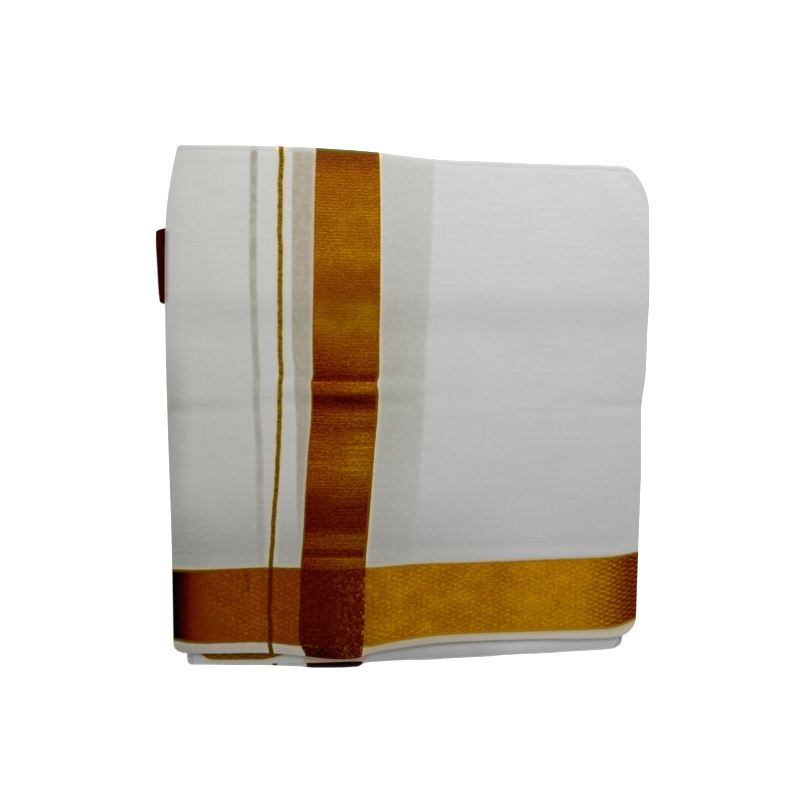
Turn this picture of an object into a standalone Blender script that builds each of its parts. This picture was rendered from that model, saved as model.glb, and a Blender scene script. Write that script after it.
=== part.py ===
"""A dhoti folded into a flat packet, lying on a surface.

The cloth is first folded along its length into a stack of panels about 31 cm wide, with the folds at the
left and right. That stack is then rolled up in four turns: the top leaf starts at the selvedge in front,
runs to the back, goes round the back fold, comes forward underneath as the under leaf and turns up in a roll
at the front. The last, short turn lies inside, and its stiff gold border pokes out of the left side as a
small loop.

X runs to the right, Y to the back and Z up. The origin is on the surface, at the centre of the packet's
footprint. Sizes are in millimetres until a mesh is made, and the meshes are in metres.
"""
import math
from collections import namedtuple

import bmesh
import bpy
from mathutils import Vector

METRES = 0.001

# ---- Driving dimensions, in millimetres
WALL = 1.2              # a visible ply of cloth, with the ply that lies against it
THIN_WALL = 1.5         # the second leaf, with a ply under it
GAP = 0.3               # between two pieces that touch
FRONT_HEIGHT = 12.0     # three turns of cloth
BACK_HEIGHT = 15.0      # four turns, where the short inner turn lies
RAMP_FRONT = 46.0       # the top climbs from three turns to four between these two
RAMP_BACK = 78.0
LEFT_DROP = 2.5         # how far the top leaf comes down to its left fold
LEFT_ROLL = 12.0        # and over what width
RIGHT_DROP = 4.0
RIGHT_ROLL = 24.0
FRONT_DROP = 1.0        # the selvedge lies a little lower than the panel
FRONT_ROLL = 14.0
MIDDLE_CREASE = 13.0    # a fold mark runs across the top leaf here, from left to right
CREASE_HEIGHT = 0.6
CREASE_HALF_WIDTH = 6.0
FOLD_RADIUS = 1.4       # a fold at the left or right edge of a leaf
FOLD_LAP = 6.0          # how far the folded ply runs back under the leaf
LEAST_LAP = 0.5         # what is left of it where the reach below cuts it short
TOP_FOLD_REACH = 13.0   # no folded ply of the top leaf ends farther in from its edge than this
UNDER_FOLD_REACH = 22.0
BACK_FOLD_DEPTH = 5.5   # half the depth of the flattened back fold
TOP_LEAF_UNDERLAP = 14.0  # how far the top leaf runs on under the packet
ROLL_DEPTH = 5.0        # the roll at the front, from its middle to its foremost line
ROLL_TUCK = 26.0        # how far the roll's cloth is tucked in under the top leaves
SECOND_LEAF_SETBACK = 2.5  # from the roll's foremost line to the second leaf's selvedge
SECOND_LEAF_LENGTH = 70.0
SECOND_LEAF_DROOP = 0.5   # its selvedge hangs a little
SECOND_LEAF_DROOP_DEPTH = 4.0
SECOND_LEAF_INSET = 3.0   # it is narrower than the roll under it, by this much a side
FRONT_INSET = 9.0       # the lower layers are narrower than the top leaf, by this much a side at the front
BACK_INSET = 2.0        # and by this much at the back
LOWER_TAPER = (-165.0, 120.0)   # the lower layers widen from the front inset to the back one between these
UPPER_TAPER = (-150.0, -105.0)  # and the layers just under the top leaf between these
FRONT_CORNERS_END = (-145.0, -140.0)  # in front of this the top leaf's left and right edges are its corners
SIDES_READ_AT = 150.0   # a row across the top leaf ends where its sides are at this distance from the middle
RIDGE_DEPTH = 0.8       # the grooves between the bundles of plies that show in the sides of the hidden layers
# A bundle's side, from the bottom up: the share of its height, and how many groove depths it lies in.
BUNDLE = [(0.0, 0.9), (0.3, 0.0), (0.7, 0.0), (1.0, 0.9)]
SECOND_COVER = 3.6      # from the top down to the hidden layers where the second leaf lies between
TOP_COVER = 1.8         # and behind it
SIDE_SLACK = 1.0        # beside the folded plies at the sides
NOSE_INSET = 4.0        # the rounded ends are narrower, by this much a side
NOSE_DEPTH = 3.0        # the rounded ends of the hidden layers, inside the roll and the back fold
NOSE_ANGLES = (10, 35, 60, 80)
STEP_RUN = 0.6          # a step in the hidden layers takes this much depth
PACKET_DEPTH = 320.0
SLIVER = 0.1            # the least height of a face in the sides of the hidden layers
SLOT_LOW_SHARE = 0.35   # where the packet is thin, the flap's slot lies between these shares of its side
SLOT_HIGH_SHARE = 0.75

# ---- The outline of the top leaf, seen from above. Each row is a point that the edge passes through.
EdgePoint = namedtuple("EdgePoint", "along out")
LEFT_EDGE = [
    EdgePoint(along=-156, out=-152.6),
    EdgePoint(along=-83, out=-153.4),
    EdgePoint(along=-6, out=-155.4),
    EdgePoint(along=45, out=-156.3),
    EdgePoint(along=108, out=-155.9),
    EdgePoint(along=130, out=-154.6),
    EdgePoint(along=150, out=-151.6),
    EdgePoint(along=170, out=-147.4),
]
RIGHT_EDGE = [
    EdgePoint(along=-156, out=155.4),
    EdgePoint(along=-89, out=157.2),
    EdgePoint(along=-40, out=158.5),
    EdgePoint(along=-4, out=158.4),
    EdgePoint(along=6, out=159.0),
    EdgePoint(along=22, out=161.2),
    EdgePoint(along=72, out=162.4),
    EdgePoint(along=126, out=161.9),
    EdgePoint(along=162, out=161.2),
]
FRONT_EDGE = [
    EdgePoint(along=-154, out=-155.4),
    EdgePoint(along=-131, out=-156.6),
    EdgePoint(along=-94, out=-157.4),
    EdgePoint(along=-71, out=-160.0),
    EdgePoint(along=-52, out=-162.6),
    EdgePoint(along=-36, out=-162.9),
    EdgePoint(along=-24, out=-159.6),
    EdgePoint(along=-4, out=-156.8),
    EdgePoint(along=22, out=-154.3),
    EdgePoint(along=88, out=-153.8),
    EdgePoint(along=132, out=-154.4),
    EdgePoint(along=156, out=-152.4),
]
BACK_EDGE = [
    EdgePoint(along=-148, out=169.3),
    EdgePoint(along=-66, out=169.2),
    EdgePoint(along=-41, out=168.3),
    EdgePoint(along=-21, out=166.8),
    EdgePoint(along=5, out=164.2),
    EdgePoint(along=31, out=162.8),
    EdgePoint(along=65, out=162.1),
    EdgePoint(along=162, out=161.2),
]
ROLL_EDGE = [
    EdgePoint(along=-144, out=-165.4),
    EdgePoint(along=-98, out=-167.2),
    EdgePoint(along=-72, out=-168.6),
    EdgePoint(along=-62, out=-169.9),
    EdgePoint(along=-33, out=-170.3),
    EdgePoint(along=-28, out=-167.8),
    EdgePoint(along=45, out=-166.4),
    EdgePoint(along=86, out=-165.3),
    EdgePoint(along=146, out=-163.6),
]

# ---- Corners: across is along X and deep along Y. A fullness of 2 is a quarter ellipse and 1 a straight cut.
Corner = namedtuple("Corner", "across deep fullness")
FRONT_LEFT = Corner(across=6.0, deep=4.5, fullness=2.0)
FRONT_RIGHT = Corner(across=9.0, deep=10.0, fullness=1.8)
BACK_LEFT = Corner(across=4.0, deep=4.0, fullness=2.0)
BACK_RIGHT = Corner(across=20.0, deep=28.0, fullness=1.65)
ROLL_LEFT = Corner(across=3.0, deep=3.0, fullness=2.0)
ROLL_RIGHT = Corner(across=9.0, deep=8.0, fullness=2.0)

# ---- The border of the short inner turn, which stands out of the left side as a loop
FLAP_FRONT = 68.0
FLAP_BACK = 115.5
FLAP_OUT_FRONT = -160.1   # the loop's foremost point across X, at its front end
FLAP_OUT_BACK = -162.1    # and at its back end
FLAP_REST_OUT = -153.0    # the plain cloth's fold on either side of the loop
FLAP_ROOT = -132.0        # how far in the flap is built
FLAP_LOW = 4.6
FLAP_THICK = 2.2
FLAP_MARGIN = 4.0         # plain cloth that shows on either side of the border
FLAP_CORNER = 3.0
FLAP_SHOULDER = 0.5       # the plain cloth draws in to the border within this

# ---- How finely the surfaces are divided
TOP_LEAF_SHARES = (
    0.0, 0.004, 0.012, 0.025, 0.045, 0.09, 0.17, 0.28, 0.4, 0.5, 0.517, 0.531, 0.545, 0.56, 0.6, 0.62, 0.645,
    0.67, 0.695, 0.72, 0.745, 0.78, 0.84, 0.89, 0.925, 0.95, 0.97, 0.985, 1.0,
)
UNDER_LEAF_SHARES = (0.0, 0.03, 0.08, 0.2, 0.4, 0.6, 0.8, 0.92, 0.97, 1.0)
TUCK_SHARES = (0.5, 1.0)
SECOND_LEAF_DEPTHS = (0.0, 2.0, 4.0, 8.0, 14.0, 25.0, 45.0, SECOND_LEAF_LENGTH)
HIDDEN_SHARES = (0.012, 0.076, 0.19, 0.4, 0.5, 0.6, 0.63, 0.65, 0.67, 0.74, 0.78, 0.82, 0.93, 0.96, 0.985)
FLAP_SHARES = (0.25, 0.5, 0.75)
FLAP_CORNER_SHARES = (0.1, 0.3, 0.6, 1.0)
# The hidden layers' steps are kept clear of the tuck and the second leaf at these distances from the middle.
COLUMNS_TRIED = (-150, -50, 50, 150)
PANEL_COLUMNS = 20
COLUMN_CROWDING = 0.6   # 0 spaces the columns evenly, 1 crowds them most towards the sides
FOLD_STEPS = 4
BACK_FOLD_STEPS = 8
ROLL_STEPS = 8
FLAP_NOSE_STEPS = 6
SHARP_ANGLE = 40.0      # edges sharper than this stay sharp in the shading

COTTON = (0.60, 0.61, 0.59, 1.0)
ZARI = (0.19, 0.045, 0.004, 1.0)
CLOTH_ROUGHNESS = 0.85


def edge_value(edge, along):
    """Where an edge passes, on a smooth curve through its rows. Past its ends it runs straight on."""
    last = len(edge) - 1
    slopes = [
        (edge[min(i + 1, last)].out - edge[max(i - 1, 0)].out)
        / (edge[min(i + 1, last)].along - edge[max(i - 1, 0)].along)
        for i in range(last + 1)
    ]
    if along <= edge[0].along:
        return edge[0].out + slopes[0] * (along - edge[0].along)
    if along >= edge[last].along:
        return edge[last].out + slopes[last] * (along - edge[last].along)
    i = next(k for k in range(last) if along <= edge[k + 1].along)
    span = edge[i + 1].along - edge[i].along
    t = (along - edge[i].along) / span
    return (
        edge[i].out * (2 * t**3 - 3 * t**2 + 1)
        + edge[i + 1].out * (3 * t**2 - 2 * t**3)
        + slopes[i] * span * (t**3 - 2 * t**2 + t)
        + slopes[i + 1] * span * (t**3 - t**2)
    )


def mix(a, b, t):
    return a + (b - a) * t


def ease(low, high, value):
    """0 below low, 1 above high, and smooth between."""
    t = min(1.0, max(0.0, (value - low) / (high - low)))
    return t * t * (3 - 2 * t)


def corner_cut(corner, into):
    """How far a corner takes the side edge in, at this distance from the end edge."""
    if into >= corner.deep:
        return 0.0
    rise = 1 - max(into, 0.0) / corner.deep
    return corner.across * (1 - (1 - rise**corner.fullness) ** (1 / corner.fullness))


def left_side(y):
    """The left edge of the top leaf at y, corners included."""
    x = edge_value(LEFT_EDGE, y)
    front = corner_cut(FRONT_LEFT, y - edge_value(FRONT_EDGE, x))
    back = corner_cut(BACK_LEFT, edge_value(BACK_EDGE, x) - y)
    return x + max(front, back)


def right_side(y):
    """The right edge of the top leaf at y, corners included."""
    x = edge_value(RIGHT_EDGE, y)
    front = corner_cut(FRONT_RIGHT, y - edge_value(FRONT_EDGE, x))
    back = corner_cut(BACK_RIGHT, edge_value(BACK_EDGE, x) - y)
    return x - max(front, back)


def lower_inset(y):
    """How far the lower layers' sides lie inside the top leaf's."""
    return mix(FRONT_INSET, BACK_INSET, ease(*LOWER_TAPER, y))


def upper_inset(y):
    """The same for the layers just under the top leaf. At the roll they are as narrow as the lower ones."""
    return mix(lower_inset(y), BACK_INSET, ease(*UPPER_TAPER, y))


def top_height(x, y):
    """The height of the top leaf's upper side, without the fold mark across its middle."""
    height = mix(FRONT_HEIGHT, BACK_HEIGHT, ease(RAMP_FRONT, RAMP_BACK, y))
    from_left = min(1.0, max(0.0, (x - edge_value(LEFT_EDGE, y)) / LEFT_ROLL))
    from_right = min(1.0, max(0.0, (edge_value(RIGHT_EDGE, y) - x) / RIGHT_ROLL))
    from_front = min(1.0, max(0.0, (y - edge_value(FRONT_EDGE, x)) / FRONT_ROLL))
    height -= LEFT_DROP * (1 - from_left) ** 2
    height -= RIGHT_DROP * (1 - from_right) ** 2
    height -= FRONT_DROP * (1 - from_front) ** 2
    return height


def crease_height(y):
    """How far the fold mark across the middle stands up."""
    off = min(1.0, abs(y - MIDDLE_CREASE) / CREASE_HALF_WIDTH)
    return CREASE_HEIGHT * (1 + math.cos(math.pi * off)) / 2


def row_between(left, right, point_at):
    """One row of points from left to right. The columns stand closer together near both ends."""
    row = []
    for column in range(PANEL_COLUMNS + 1):
        even = column / PANEL_COLUMNS
        share = mix(even, (1 - math.cos(math.pi * even)) / 2, COLUMN_CROWDING)
        row.append(point_at(mix(left, right, share)))
    return row


def leaf_row(y_at, point_at):
    """A row across the top leaf whose ends leave room for the folds' radius."""
    left = left_side(y_at(-SIDES_READ_AT)) + FOLD_RADIUS
    right = right_side(y_at(SIDES_READ_AT)) - FOLD_RADIUS
    return row_between(left, right, point_at)


def top_leaf_rows():
    """The outer side of the top leaf: its selvedge, panel, back fold and the stretch under the packet."""
    def front(x):
        return edge_value(FRONT_EDGE, x)

    def back(x):
        return edge_value(BACK_EDGE, x) - BACK_FOLD_DEPTH

    rows = []
    for share in TOP_LEAF_SHARES:
        def y_at(x, share=share):
            return mix(front(x), back(x), share)

        def point_at(x, y_at=y_at):
            y = y_at(x)
            return Vector((x, y, top_height(x, y) + crease_height(y)))
        rows.append(leaf_row(y_at, point_at))
    for step in range(1, BACK_FOLD_STEPS + 1):
        angle = math.pi * step / BACK_FOLD_STEPS

        def y_at(x, angle=angle):
            return back(x) + BACK_FOLD_DEPTH * math.sin(angle)

        def point_at(x, y_at=y_at, angle=angle):
            middle = top_height(x, back(x)) / 2
            return Vector((x, y_at(x), middle + middle * math.cos(angle)))
        rows.append(leaf_row(y_at, point_at))

    def under_y(x):
        return back(x) - TOP_LEAF_UNDERLAP
    rows.append(leaf_row(under_y, lambda x: Vector((x, under_y(x), 0.0))))
    return rows


def roll_height(x):
    """The top of the roll, under both leaves at the front."""
    selvedge = edge_value(FRONT_EDGE, x)
    return top_height(x, selvedge) - WALL - THIN_WALL - 2 * GAP


def side_edge(side, y):
    """The top leaf's edge beside a lower layer: side is 1 at the left and -1 at the right."""
    left_end, right_end = FRONT_CORNERS_END
    return left_side(max(y, left_end)) if side == 1 else right_side(max(y, right_end))


def lower_row(y_at, point_at, inset=0.0):
    """A row across a lower layer, narrower than the top leaf, with its ends rounded in towards the roll."""
    ends = []
    for x, side, corner in ((ROLL_EDGE[0].along, 1, ROLL_LEFT), (ROLL_EDGE[-1].along, -1, ROLL_RIGHT)):
        y = y_at(x)
        cut = corner_cut(corner, y - edge_value(ROLL_EDGE, x))
        ends.append(side_edge(side, y) + side * (lower_inset(y) + inset + cut + FOLD_RADIUS))
    return row_between(ends[0], ends[1], point_at)


def under_leaf_rows():
    """The outer side of the under leaf, which runs forward on the surface, up the roll and in again."""
    def seam_y(x):
        return edge_value(BACK_EDGE, x) - BACK_FOLD_DEPTH - TOP_LEAF_UNDERLAP - GAP

    def roll_y(x):
        return edge_value(ROLL_EDGE, x) + ROLL_DEPTH
    rows = []
    for share in UNDER_LEAF_SHARES:
        def y_at(x, share=share):
            return mix(seam_y(x), roll_y(x), share)
        rows.append(lower_row(y_at, lambda x, y_at=y_at: Vector((x, y_at(x), 0.0))))
    for step in range(1, ROLL_STEPS + 1):
        angle = math.pi * step / ROLL_STEPS

        def y_at(x, angle=angle):
            return roll_y(x) - ROLL_DEPTH * math.sin(angle)

        def point_at(x, y_at=y_at, angle=angle):
            half = roll_height(x) / 2
            return Vector((x, y_at(x), half - half * math.cos(angle)))
        rows.append(lower_row(y_at, point_at))
    for share in TUCK_SHARES:
        def y_at(x, share=share):
            return roll_y(x) + ROLL_TUCK * share
        rows.append(lower_row(y_at, lambda x, y_at=y_at: Vector((x, y_at(x), roll_height(x)))))
    return rows


def normal_at(rows, i, j):
    """The outward normal of a surface of rows, from the neighbouring points."""
    across = rows[i][min(j + 1, len(rows[i]) - 1)] - rows[i][max(j - 1, 0)]
    along = rows[min(i + 1, len(rows) - 1)][j] - rows[max(i - 1, 0)][j]
    return across.cross(along).normalized()


def folded_end(edge, outwards, normal, radius, lap):
    """Points round a fold at the end of a row, then back under the leaf. The fold's centre stays the same."""
    centre = edge - normal * FOLD_RADIUS
    points = []
    for step in range(1, FOLD_STEPS + 1):
        angle = math.pi * step / FOLD_STEPS
        points.append(centre + radius * (math.sin(angle) * outwards + math.cos(angle) * normal))
    points.append(points[-1] - outwards * lap)
    return points


def leaf_solid(name, rows, wall, colour, fold_reach=None):
    """A closed wall of cloth whose outer side is rows.

    With fold_reach, each side turns under in a fold. The folded ply ends at most that far in from the
    packet's edge.
    """
    rings = []
    for i, row in enumerate(rows):
        normals = [normal_at(rows, i, j) for j in range(len(row))]
        outer = list(row)
        inner = [point - normal * wall for point, normal in zip(row, normals)]
        if fold_reach is not None:
            for end, beside, normal, at_left in (
                (row[0], row[1], normals[0], True),
                (row[-1], row[-2], normals[-1], False),
            ):
                outwards = (end - beside).normalized()
                widest = left_side(0) if at_left else right_side(0)
                lap = min(FOLD_LAP, max(LEAST_LAP, fold_reach - abs(widest - end.x)))
                outside = folded_end(end, outwards, normal, FOLD_RADIUS, lap)
                inside = folded_end(end, outwards, normal, FOLD_RADIUS - wall, lap)
                outer = outside[::-1] + outer if at_left else outer + outside
                inner = inside[::-1] + inner if at_left else inner + inside
        rings.append(outer + inner[::-1])
    return lofted(name, rings, colour)


def lofted(name, rings, colour):
    """A closed solid through rings of equal length.

    Each end is capped by a strip of faces from a ring's first half to its second.
    """
    mesh = bmesh.new()
    size = len(rings[0])
    verts = [[mesh.verts.new(point * METRES) for point in ring] for ring in rings]
    for a, b in zip(verts, verts[1:]):
        for k in range(size):
            mesh.faces.new((a[k], a[(k + 1) % size], b[(k + 1) % size], b[k]))
    half = size // 2
    for ring in (verts[0], verts[-1]):
        for k in range(half - 1):
            mesh.faces.new((ring[k], ring[k + 1], ring[size - 2 - k], ring[size - 1 - k]))
        if size % 2:
            mesh.faces.new(ring[half - 1:half + 2])
    bmesh.ops.recalc_face_normals(mesh, faces=mesh.faces)
    bmesh.ops.triangulate(mesh, faces=mesh.faces)
    data = bpy.data.meshes.new(name)
    mesh.to_mesh(data)
    mesh.free()
    data.shade_smooth()
    data.set_sharp_from_angle(angle=math.radians(SHARP_ANGLE))
    return placed(name, data, colour)


def placed(name, data, colour):
    """Puts a mesh into the scene under its node's name, with its own material."""
    obj = bpy.data.objects.new(name, data)
    bpy.context.scene.collection.objects.link(obj)
    material = bpy.data.materials.new(name + "_cloth")
    material.use_nodes = True
    surface = material.node_tree.nodes["Principled BSDF"]
    surface.inputs["Base Color"].default_value = colour
    surface.inputs["Roughness"].default_value = CLOTH_ROUGHNESS
    data.materials.append(material)
    return obj


def second_leaf():
    """The leaf under the top leaf. Its selvedge shows in front, on the roll."""
    def front_y(x):
        return edge_value(ROLL_EDGE, x) + SECOND_LEAF_SETBACK
    rows = []
    for depth in SECOND_LEAF_DEPTHS:
        def y_at(x, depth=depth):
            return front_y(x) + depth

        def point_at(x, y_at=y_at, depth=depth):
            y = max(y_at(x), edge_value(FRONT_EDGE, x))
            droop = SECOND_LEAF_DROOP * max(0.0, 1 - depth / SECOND_LEAF_DROOP_DEPTH) ** 2
            return Vector((x, y_at(x), top_height(x, y) - WALL - GAP - droop))
        rows.append(lower_row(y_at, point_at, SECOND_LEAF_INSET))
    return leaf_solid("second_leaf", rows, THIN_WALL, COTTON)


def hidden_side(side, y_at, low, high, side_top, slot_end, in_roll):
    """One side of a section of the hidden layers, from the bottom up: two bundles of plies, a slot between.

    It reaches out over the folds of the leaf below and under those of the leaf above. Where a leaf turns in a
    roll round the end of the layers, they stay between its folds.
    """
    y = y_at(ROLL_EDGE[0].along if side == 1 else ROLL_EDGE[-1].along)
    edge = side_edge(side, y)
    lower = edge + side * lower_inset(y)
    upper = edge + side * upper_inset(y)
    inner = lower + side * (FOLD_RADIUS + FOLD_LAP + SIDE_SLACK)
    groove = RIDGE_DEPTH
    if in_roll:
        inner += side * NOSE_INSET
        lower = upper = inner - side * 2 * SLIVER
        groove = 0.0
    foot = max(2 * FOLD_RADIUS + GAP, low(inner) + SLIVER)
    head = min(side_top(upper), high(inner) - 2 * SLIVER)
    slot_low = min(FLAP_LOW - GAP, mix(foot, head, SLOT_LOW_SHARE))
    slot_high = min(FLAP_LOW + FLAP_THICK + GAP, mix(foot, head, SLOT_HIGH_SHARE))
    root = slot_end if slot_end is not None else upper + side * 2 * groove
    points = [(inner, low(inner)), (inner - side * SLIVER, foot)]
    points += [(lower + side * depth * groove, mix(foot, slot_low, share)) for share, depth in BUNDLE]
    points += [(root, slot_low), (root, slot_high)]
    points += [(upper + side * depth * groove, mix(slot_high, head, share)) for share, depth in BUNDLE]
    points.append((inner - side * SLIVER, min(side_top(inner), high(inner) - SLIVER)))
    points.append((inner, high(inner)))
    return [Vector((x, y_at(x), z)) for x, z in points]


def hidden_ring(y_at, low, high, side_top, slot_end=None, in_roll=False):
    """A closed section across the hidden layers, from the middle of its left side over the top and round."""
    left = hidden_side(1, y_at, low, high, side_top, slot_end, in_roll)
    right = hidden_side(-1, y_at, low, high, side_top, None, in_roll)
    top = row_between(left[-1].x, right[-1].x, lambda x: Vector((x, y_at(x), high(x))))[1:-1]
    bottom = [Vector((point.x, point.y, low(point.x))) for point in top]
    middle = len(left) // 2
    return left[middle:] + top + right[::-1] + bottom[::-1] + left[:middle]


def rounded_end(y_of, low, high, side_top, direction):
    """The rings of a rounded end of the hidden layers, inside a roll.

    y_of gives the line where the rounding starts.
    """
    rings = []
    for degrees in NOSE_ANGLES:
        turn = math.radians(degrees)

        def y_at(x, turn=turn):
            return y_of(x) + direction * NOSE_DEPTH * math.sin(turn)

        def lower(x, turn=turn):
            return mix(low(x), high(x), (1 - math.cos(turn)) / 2)

        def upper(x, turn=turn):
            return mix(low(x), high(x), (1 + math.cos(turn)) / 2)
        rings.append(hidden_ring(y_at, lower, upper, side_top, in_roll=True))
    return rings


def hidden_layers():
    """All the layers that don't show, as one rounded solid with a slot for the inner flap."""
    fold_clear = 2 * FOLD_RADIUS + GAP

    def front(x):
        return edge_value(ROLL_EDGE, x) + ROLL_DEPTH

    def back(x):
        return edge_value(BACK_EDGE, x) - BACK_FOLD_DEPTH

    def floor(x):
        return WALL + GAP

    def under_tuck(x):
        return roll_height(x) - WALL - GAP

    def beside_tuck(x):
        return roll_height(x) - fold_clear - SLIVER

    def at_back(x):
        return top_height(x, back(x))

    def share_of(y, x):
        return (y - front(x)) / (back(x) - front(x))
    rings = rounded_end(front, floor, under_tuck, beside_tuck, -1)[::-1]
    second_depth = SECOND_LEAF_SETBACK + SECOND_LEAF_LENGTH - ROLL_DEPTH
    tuck_end = max(share_of(front(x) + ROLL_TUCK + GAP, x) for x in COLUMNS_TRIED)
    second_end = max(share_of(front(x) + second_depth + GAP, x) for x in COLUMNS_TRIED)
    slot_front = share_of(FLAP_FRONT - FLAP_MARGIN - GAP, COLUMNS_TRIED[0])
    slot_back = share_of(FLAP_BACK + FLAP_MARGIN + GAP, COLUMNS_TRIED[0])
    step = STEP_RUN / PACKET_DEPTH
    steps = [tuck_end, tuck_end + step, second_end, second_end + step]
    steps += [slot_front - step, slot_front, slot_back, slot_back + step]
    for share in sorted([*HIDDEN_SHARES, *steps]):
        def y_at(x, share=share):
            return mix(front(x), back(x), share)
        cover = SECOND_COVER if share <= second_end else TOP_COVER

        def high(x, y_at=y_at, cover=cover):
            return top_height(x, y_at(x)) - cover

        def side_top(x, y_at=y_at):
            return top_height(x, y_at(x)) - fold_clear - GAP
        slot_end = FLAP_ROOT + GAP if slot_front <= share <= slot_back else None
        if share <= tuck_end:
            rings.append(hidden_ring(y_at, floor, under_tuck, beside_tuck, in_roll=True))
        else:
            rings.append(hidden_ring(y_at, floor, high, side_top, slot_end))

    def under_back(x):
        return at_back(x) - TOP_COVER

    def beside_back(x):
        return at_back(x) - fold_clear - GAP
    rings += rounded_end(back, floor, under_back, beside_back, 1)
    return lofted("hidden_layers", rings, COTTON)


def inner_flap():
    """The edge of the short inner turn, whose border stands out of the packet's side as a loop."""
    def out_at(y):
        loop = mix(FLAP_OUT_FRONT, FLAP_OUT_BACK, (y - FLAP_FRONT) / (FLAP_BACK - FLAP_FRONT))
        into = min(y - FLAP_FRONT, FLAP_BACK - y)
        if into < 0:
            return FLAP_REST_OUT
        rise = 1 - min(1.0, into / FLAP_CORNER)
        return mix(FLAP_REST_OUT, loop, math.sqrt(1 - rise * rise))
    lines = [FLAP_FRONT - FLAP_MARGIN, FLAP_FRONT - FLAP_SHOULDER, FLAP_FRONT]
    lines += [FLAP_FRONT + share * FLAP_CORNER for share in FLAP_CORNER_SHARES]
    lines += [mix(FLAP_FRONT, FLAP_BACK, share) for share in FLAP_SHARES]
    lines += [FLAP_BACK - share * FLAP_CORNER for share in reversed(FLAP_CORNER_SHARES)]
    lines += [FLAP_BACK, FLAP_BACK + FLAP_SHOULDER, FLAP_BACK + FLAP_MARGIN]
    radius = FLAP_THICK / 2
    rings = []
    for y in lines:
        nose = out_at(y) + radius
        ring = [Vector((FLAP_ROOT, y, FLAP_LOW))]
        for step in range(FLAP_NOSE_STEPS + 1):
            turn = math.pi * step / FLAP_NOSE_STEPS
            x = nose - radius * math.sin(turn)
            ring.append(Vector((x, y, FLAP_LOW + radius * (1 - math.cos(turn)))))
        ring.append(Vector((FLAP_ROOT, y, FLAP_LOW + FLAP_THICK)))
        rings.append(ring)
    return lofted("inner_flap", rings, ZARI)


def clear_scene():
    for obj in list(bpy.data.objects):
        bpy.data.objects.remove(obj)


def main():
    clear_scene()
    leaf_solid("top_leaf", top_leaf_rows(), WALL, COTTON, TOP_FOLD_REACH)
    second_leaf()
    leaf_solid("under_leaf", under_leaf_rows(), WALL, COTTON, UNDER_FOLD_REACH)
    hidden_layers()
    inner_flap()


main()
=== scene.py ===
# %% [markdown]
# # A dhoti, folded flat
#
# A dhoti is one long length of fine cotton. Both long edges carry a woven border with gold thread (zari),
# and near each end a wide gold band and a narrow gold line cross the cloth from edge to edge. Here it is
# folded up small: first along its length into panels as wide as the packet, then that stack of panels is
# rolled over in four turns.
#
# The solids for collision are loaded first. Everything below is cloth that lies on those solids.

# %% Load the frame
import math
from collections import namedtuple
from functools import partial

import bmesh
import bpy
from mathutils import Matrix, Vector, noise


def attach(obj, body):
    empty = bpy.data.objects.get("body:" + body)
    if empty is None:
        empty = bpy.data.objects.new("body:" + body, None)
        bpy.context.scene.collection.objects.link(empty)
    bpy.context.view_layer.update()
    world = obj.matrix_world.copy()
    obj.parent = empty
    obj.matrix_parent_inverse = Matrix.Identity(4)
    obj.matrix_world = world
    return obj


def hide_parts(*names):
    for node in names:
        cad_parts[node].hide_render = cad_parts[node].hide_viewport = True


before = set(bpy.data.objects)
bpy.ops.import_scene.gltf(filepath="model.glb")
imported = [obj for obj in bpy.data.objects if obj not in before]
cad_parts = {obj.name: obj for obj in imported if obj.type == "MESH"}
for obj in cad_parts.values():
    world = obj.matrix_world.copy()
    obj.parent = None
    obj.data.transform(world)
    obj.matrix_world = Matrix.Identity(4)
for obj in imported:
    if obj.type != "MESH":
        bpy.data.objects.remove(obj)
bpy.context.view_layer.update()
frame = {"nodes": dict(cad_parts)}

MM = 0.001
print("solids:", ", ".join(frame["nodes"]))

# %% [markdown]
# ## The outline of the packet
#
# Folded cloth never lies quite square. Each edge of the packet is a smooth curve through a few points that
# were measured along it, the same ones that the solids are built from. `along` is the distance along the
# edge and `out` is how far out from the middle the edge lies there, both in millimetres. A corner's
# fullness is 2 for a quarter ellipse and 1 for a straight cut.

# %% Edges seen from above
def rows_of(kind, rows):
    """A table whose columns have names."""
    return [kind(*row) for row in rows]


EdgePoint = namedtuple("EdgePoint", "along out")
LEFT_EDGE = rows_of(EdgePoint, [
    (-156, -152.6), (-83, -153.4), (-6, -155.4), (45, -156.3), (108, -155.9), (130, -154.6),
    (150, -151.6), (170, -147.4),
])
RIGHT_EDGE = rows_of(EdgePoint, [
    (-156, 155.4), (-89, 157.2), (-40, 158.5), (-4, 158.4), (6, 159.0), (22, 161.2), (72, 162.4),
    (126, 161.9), (162, 161.2),
])
FRONT_EDGE = rows_of(EdgePoint, [
    (-154, -155.4), (-131, -156.6), (-94, -157.4), (-71, -160.0), (-52, -162.6), (-36, -162.9),
    (-24, -159.6), (-4, -156.8), (22, -154.3), (88, -153.8), (132, -154.4), (156, -152.4),
])
BACK_EDGE = rows_of(EdgePoint, [
    (-148, 169.3), (-66, 169.2), (-41, 168.3), (-21, 166.8), (5, 164.2), (31, 162.8), (65, 162.1),
    (162, 161.2),
])
ROLL_EDGE = rows_of(EdgePoint, [
    (-144, -165.4), (-98, -167.2), (-72, -168.6), (-62, -169.9), (-33, -170.3), (-28, -167.8),
    (45, -166.4), (86, -165.3), (146, -163.6),
])
SECOND_EDGE = rows_of(EdgePoint, [
    (-142, -163.8), (-96, -165.0), (-66, -165.4), (-34, -165.3), (-22, -166.4), (45, -165.6),
    (86, -164.5), (142, -162.9),
])
Corner = namedtuple("Corner", "across deep fullness")
FRONT_LEFT = Corner(6.0, 4.5, 2.0)
FRONT_RIGHT = Corner(9.0, 10.0, 1.8)
BACK_LEFT = Corner(4.0, 4.0, 2.0)
BACK_RIGHT = Corner(20.0, 28.0, 1.65)
ROLL_LEFT = Corner(3.0, 3.0, 2.0)
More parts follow.
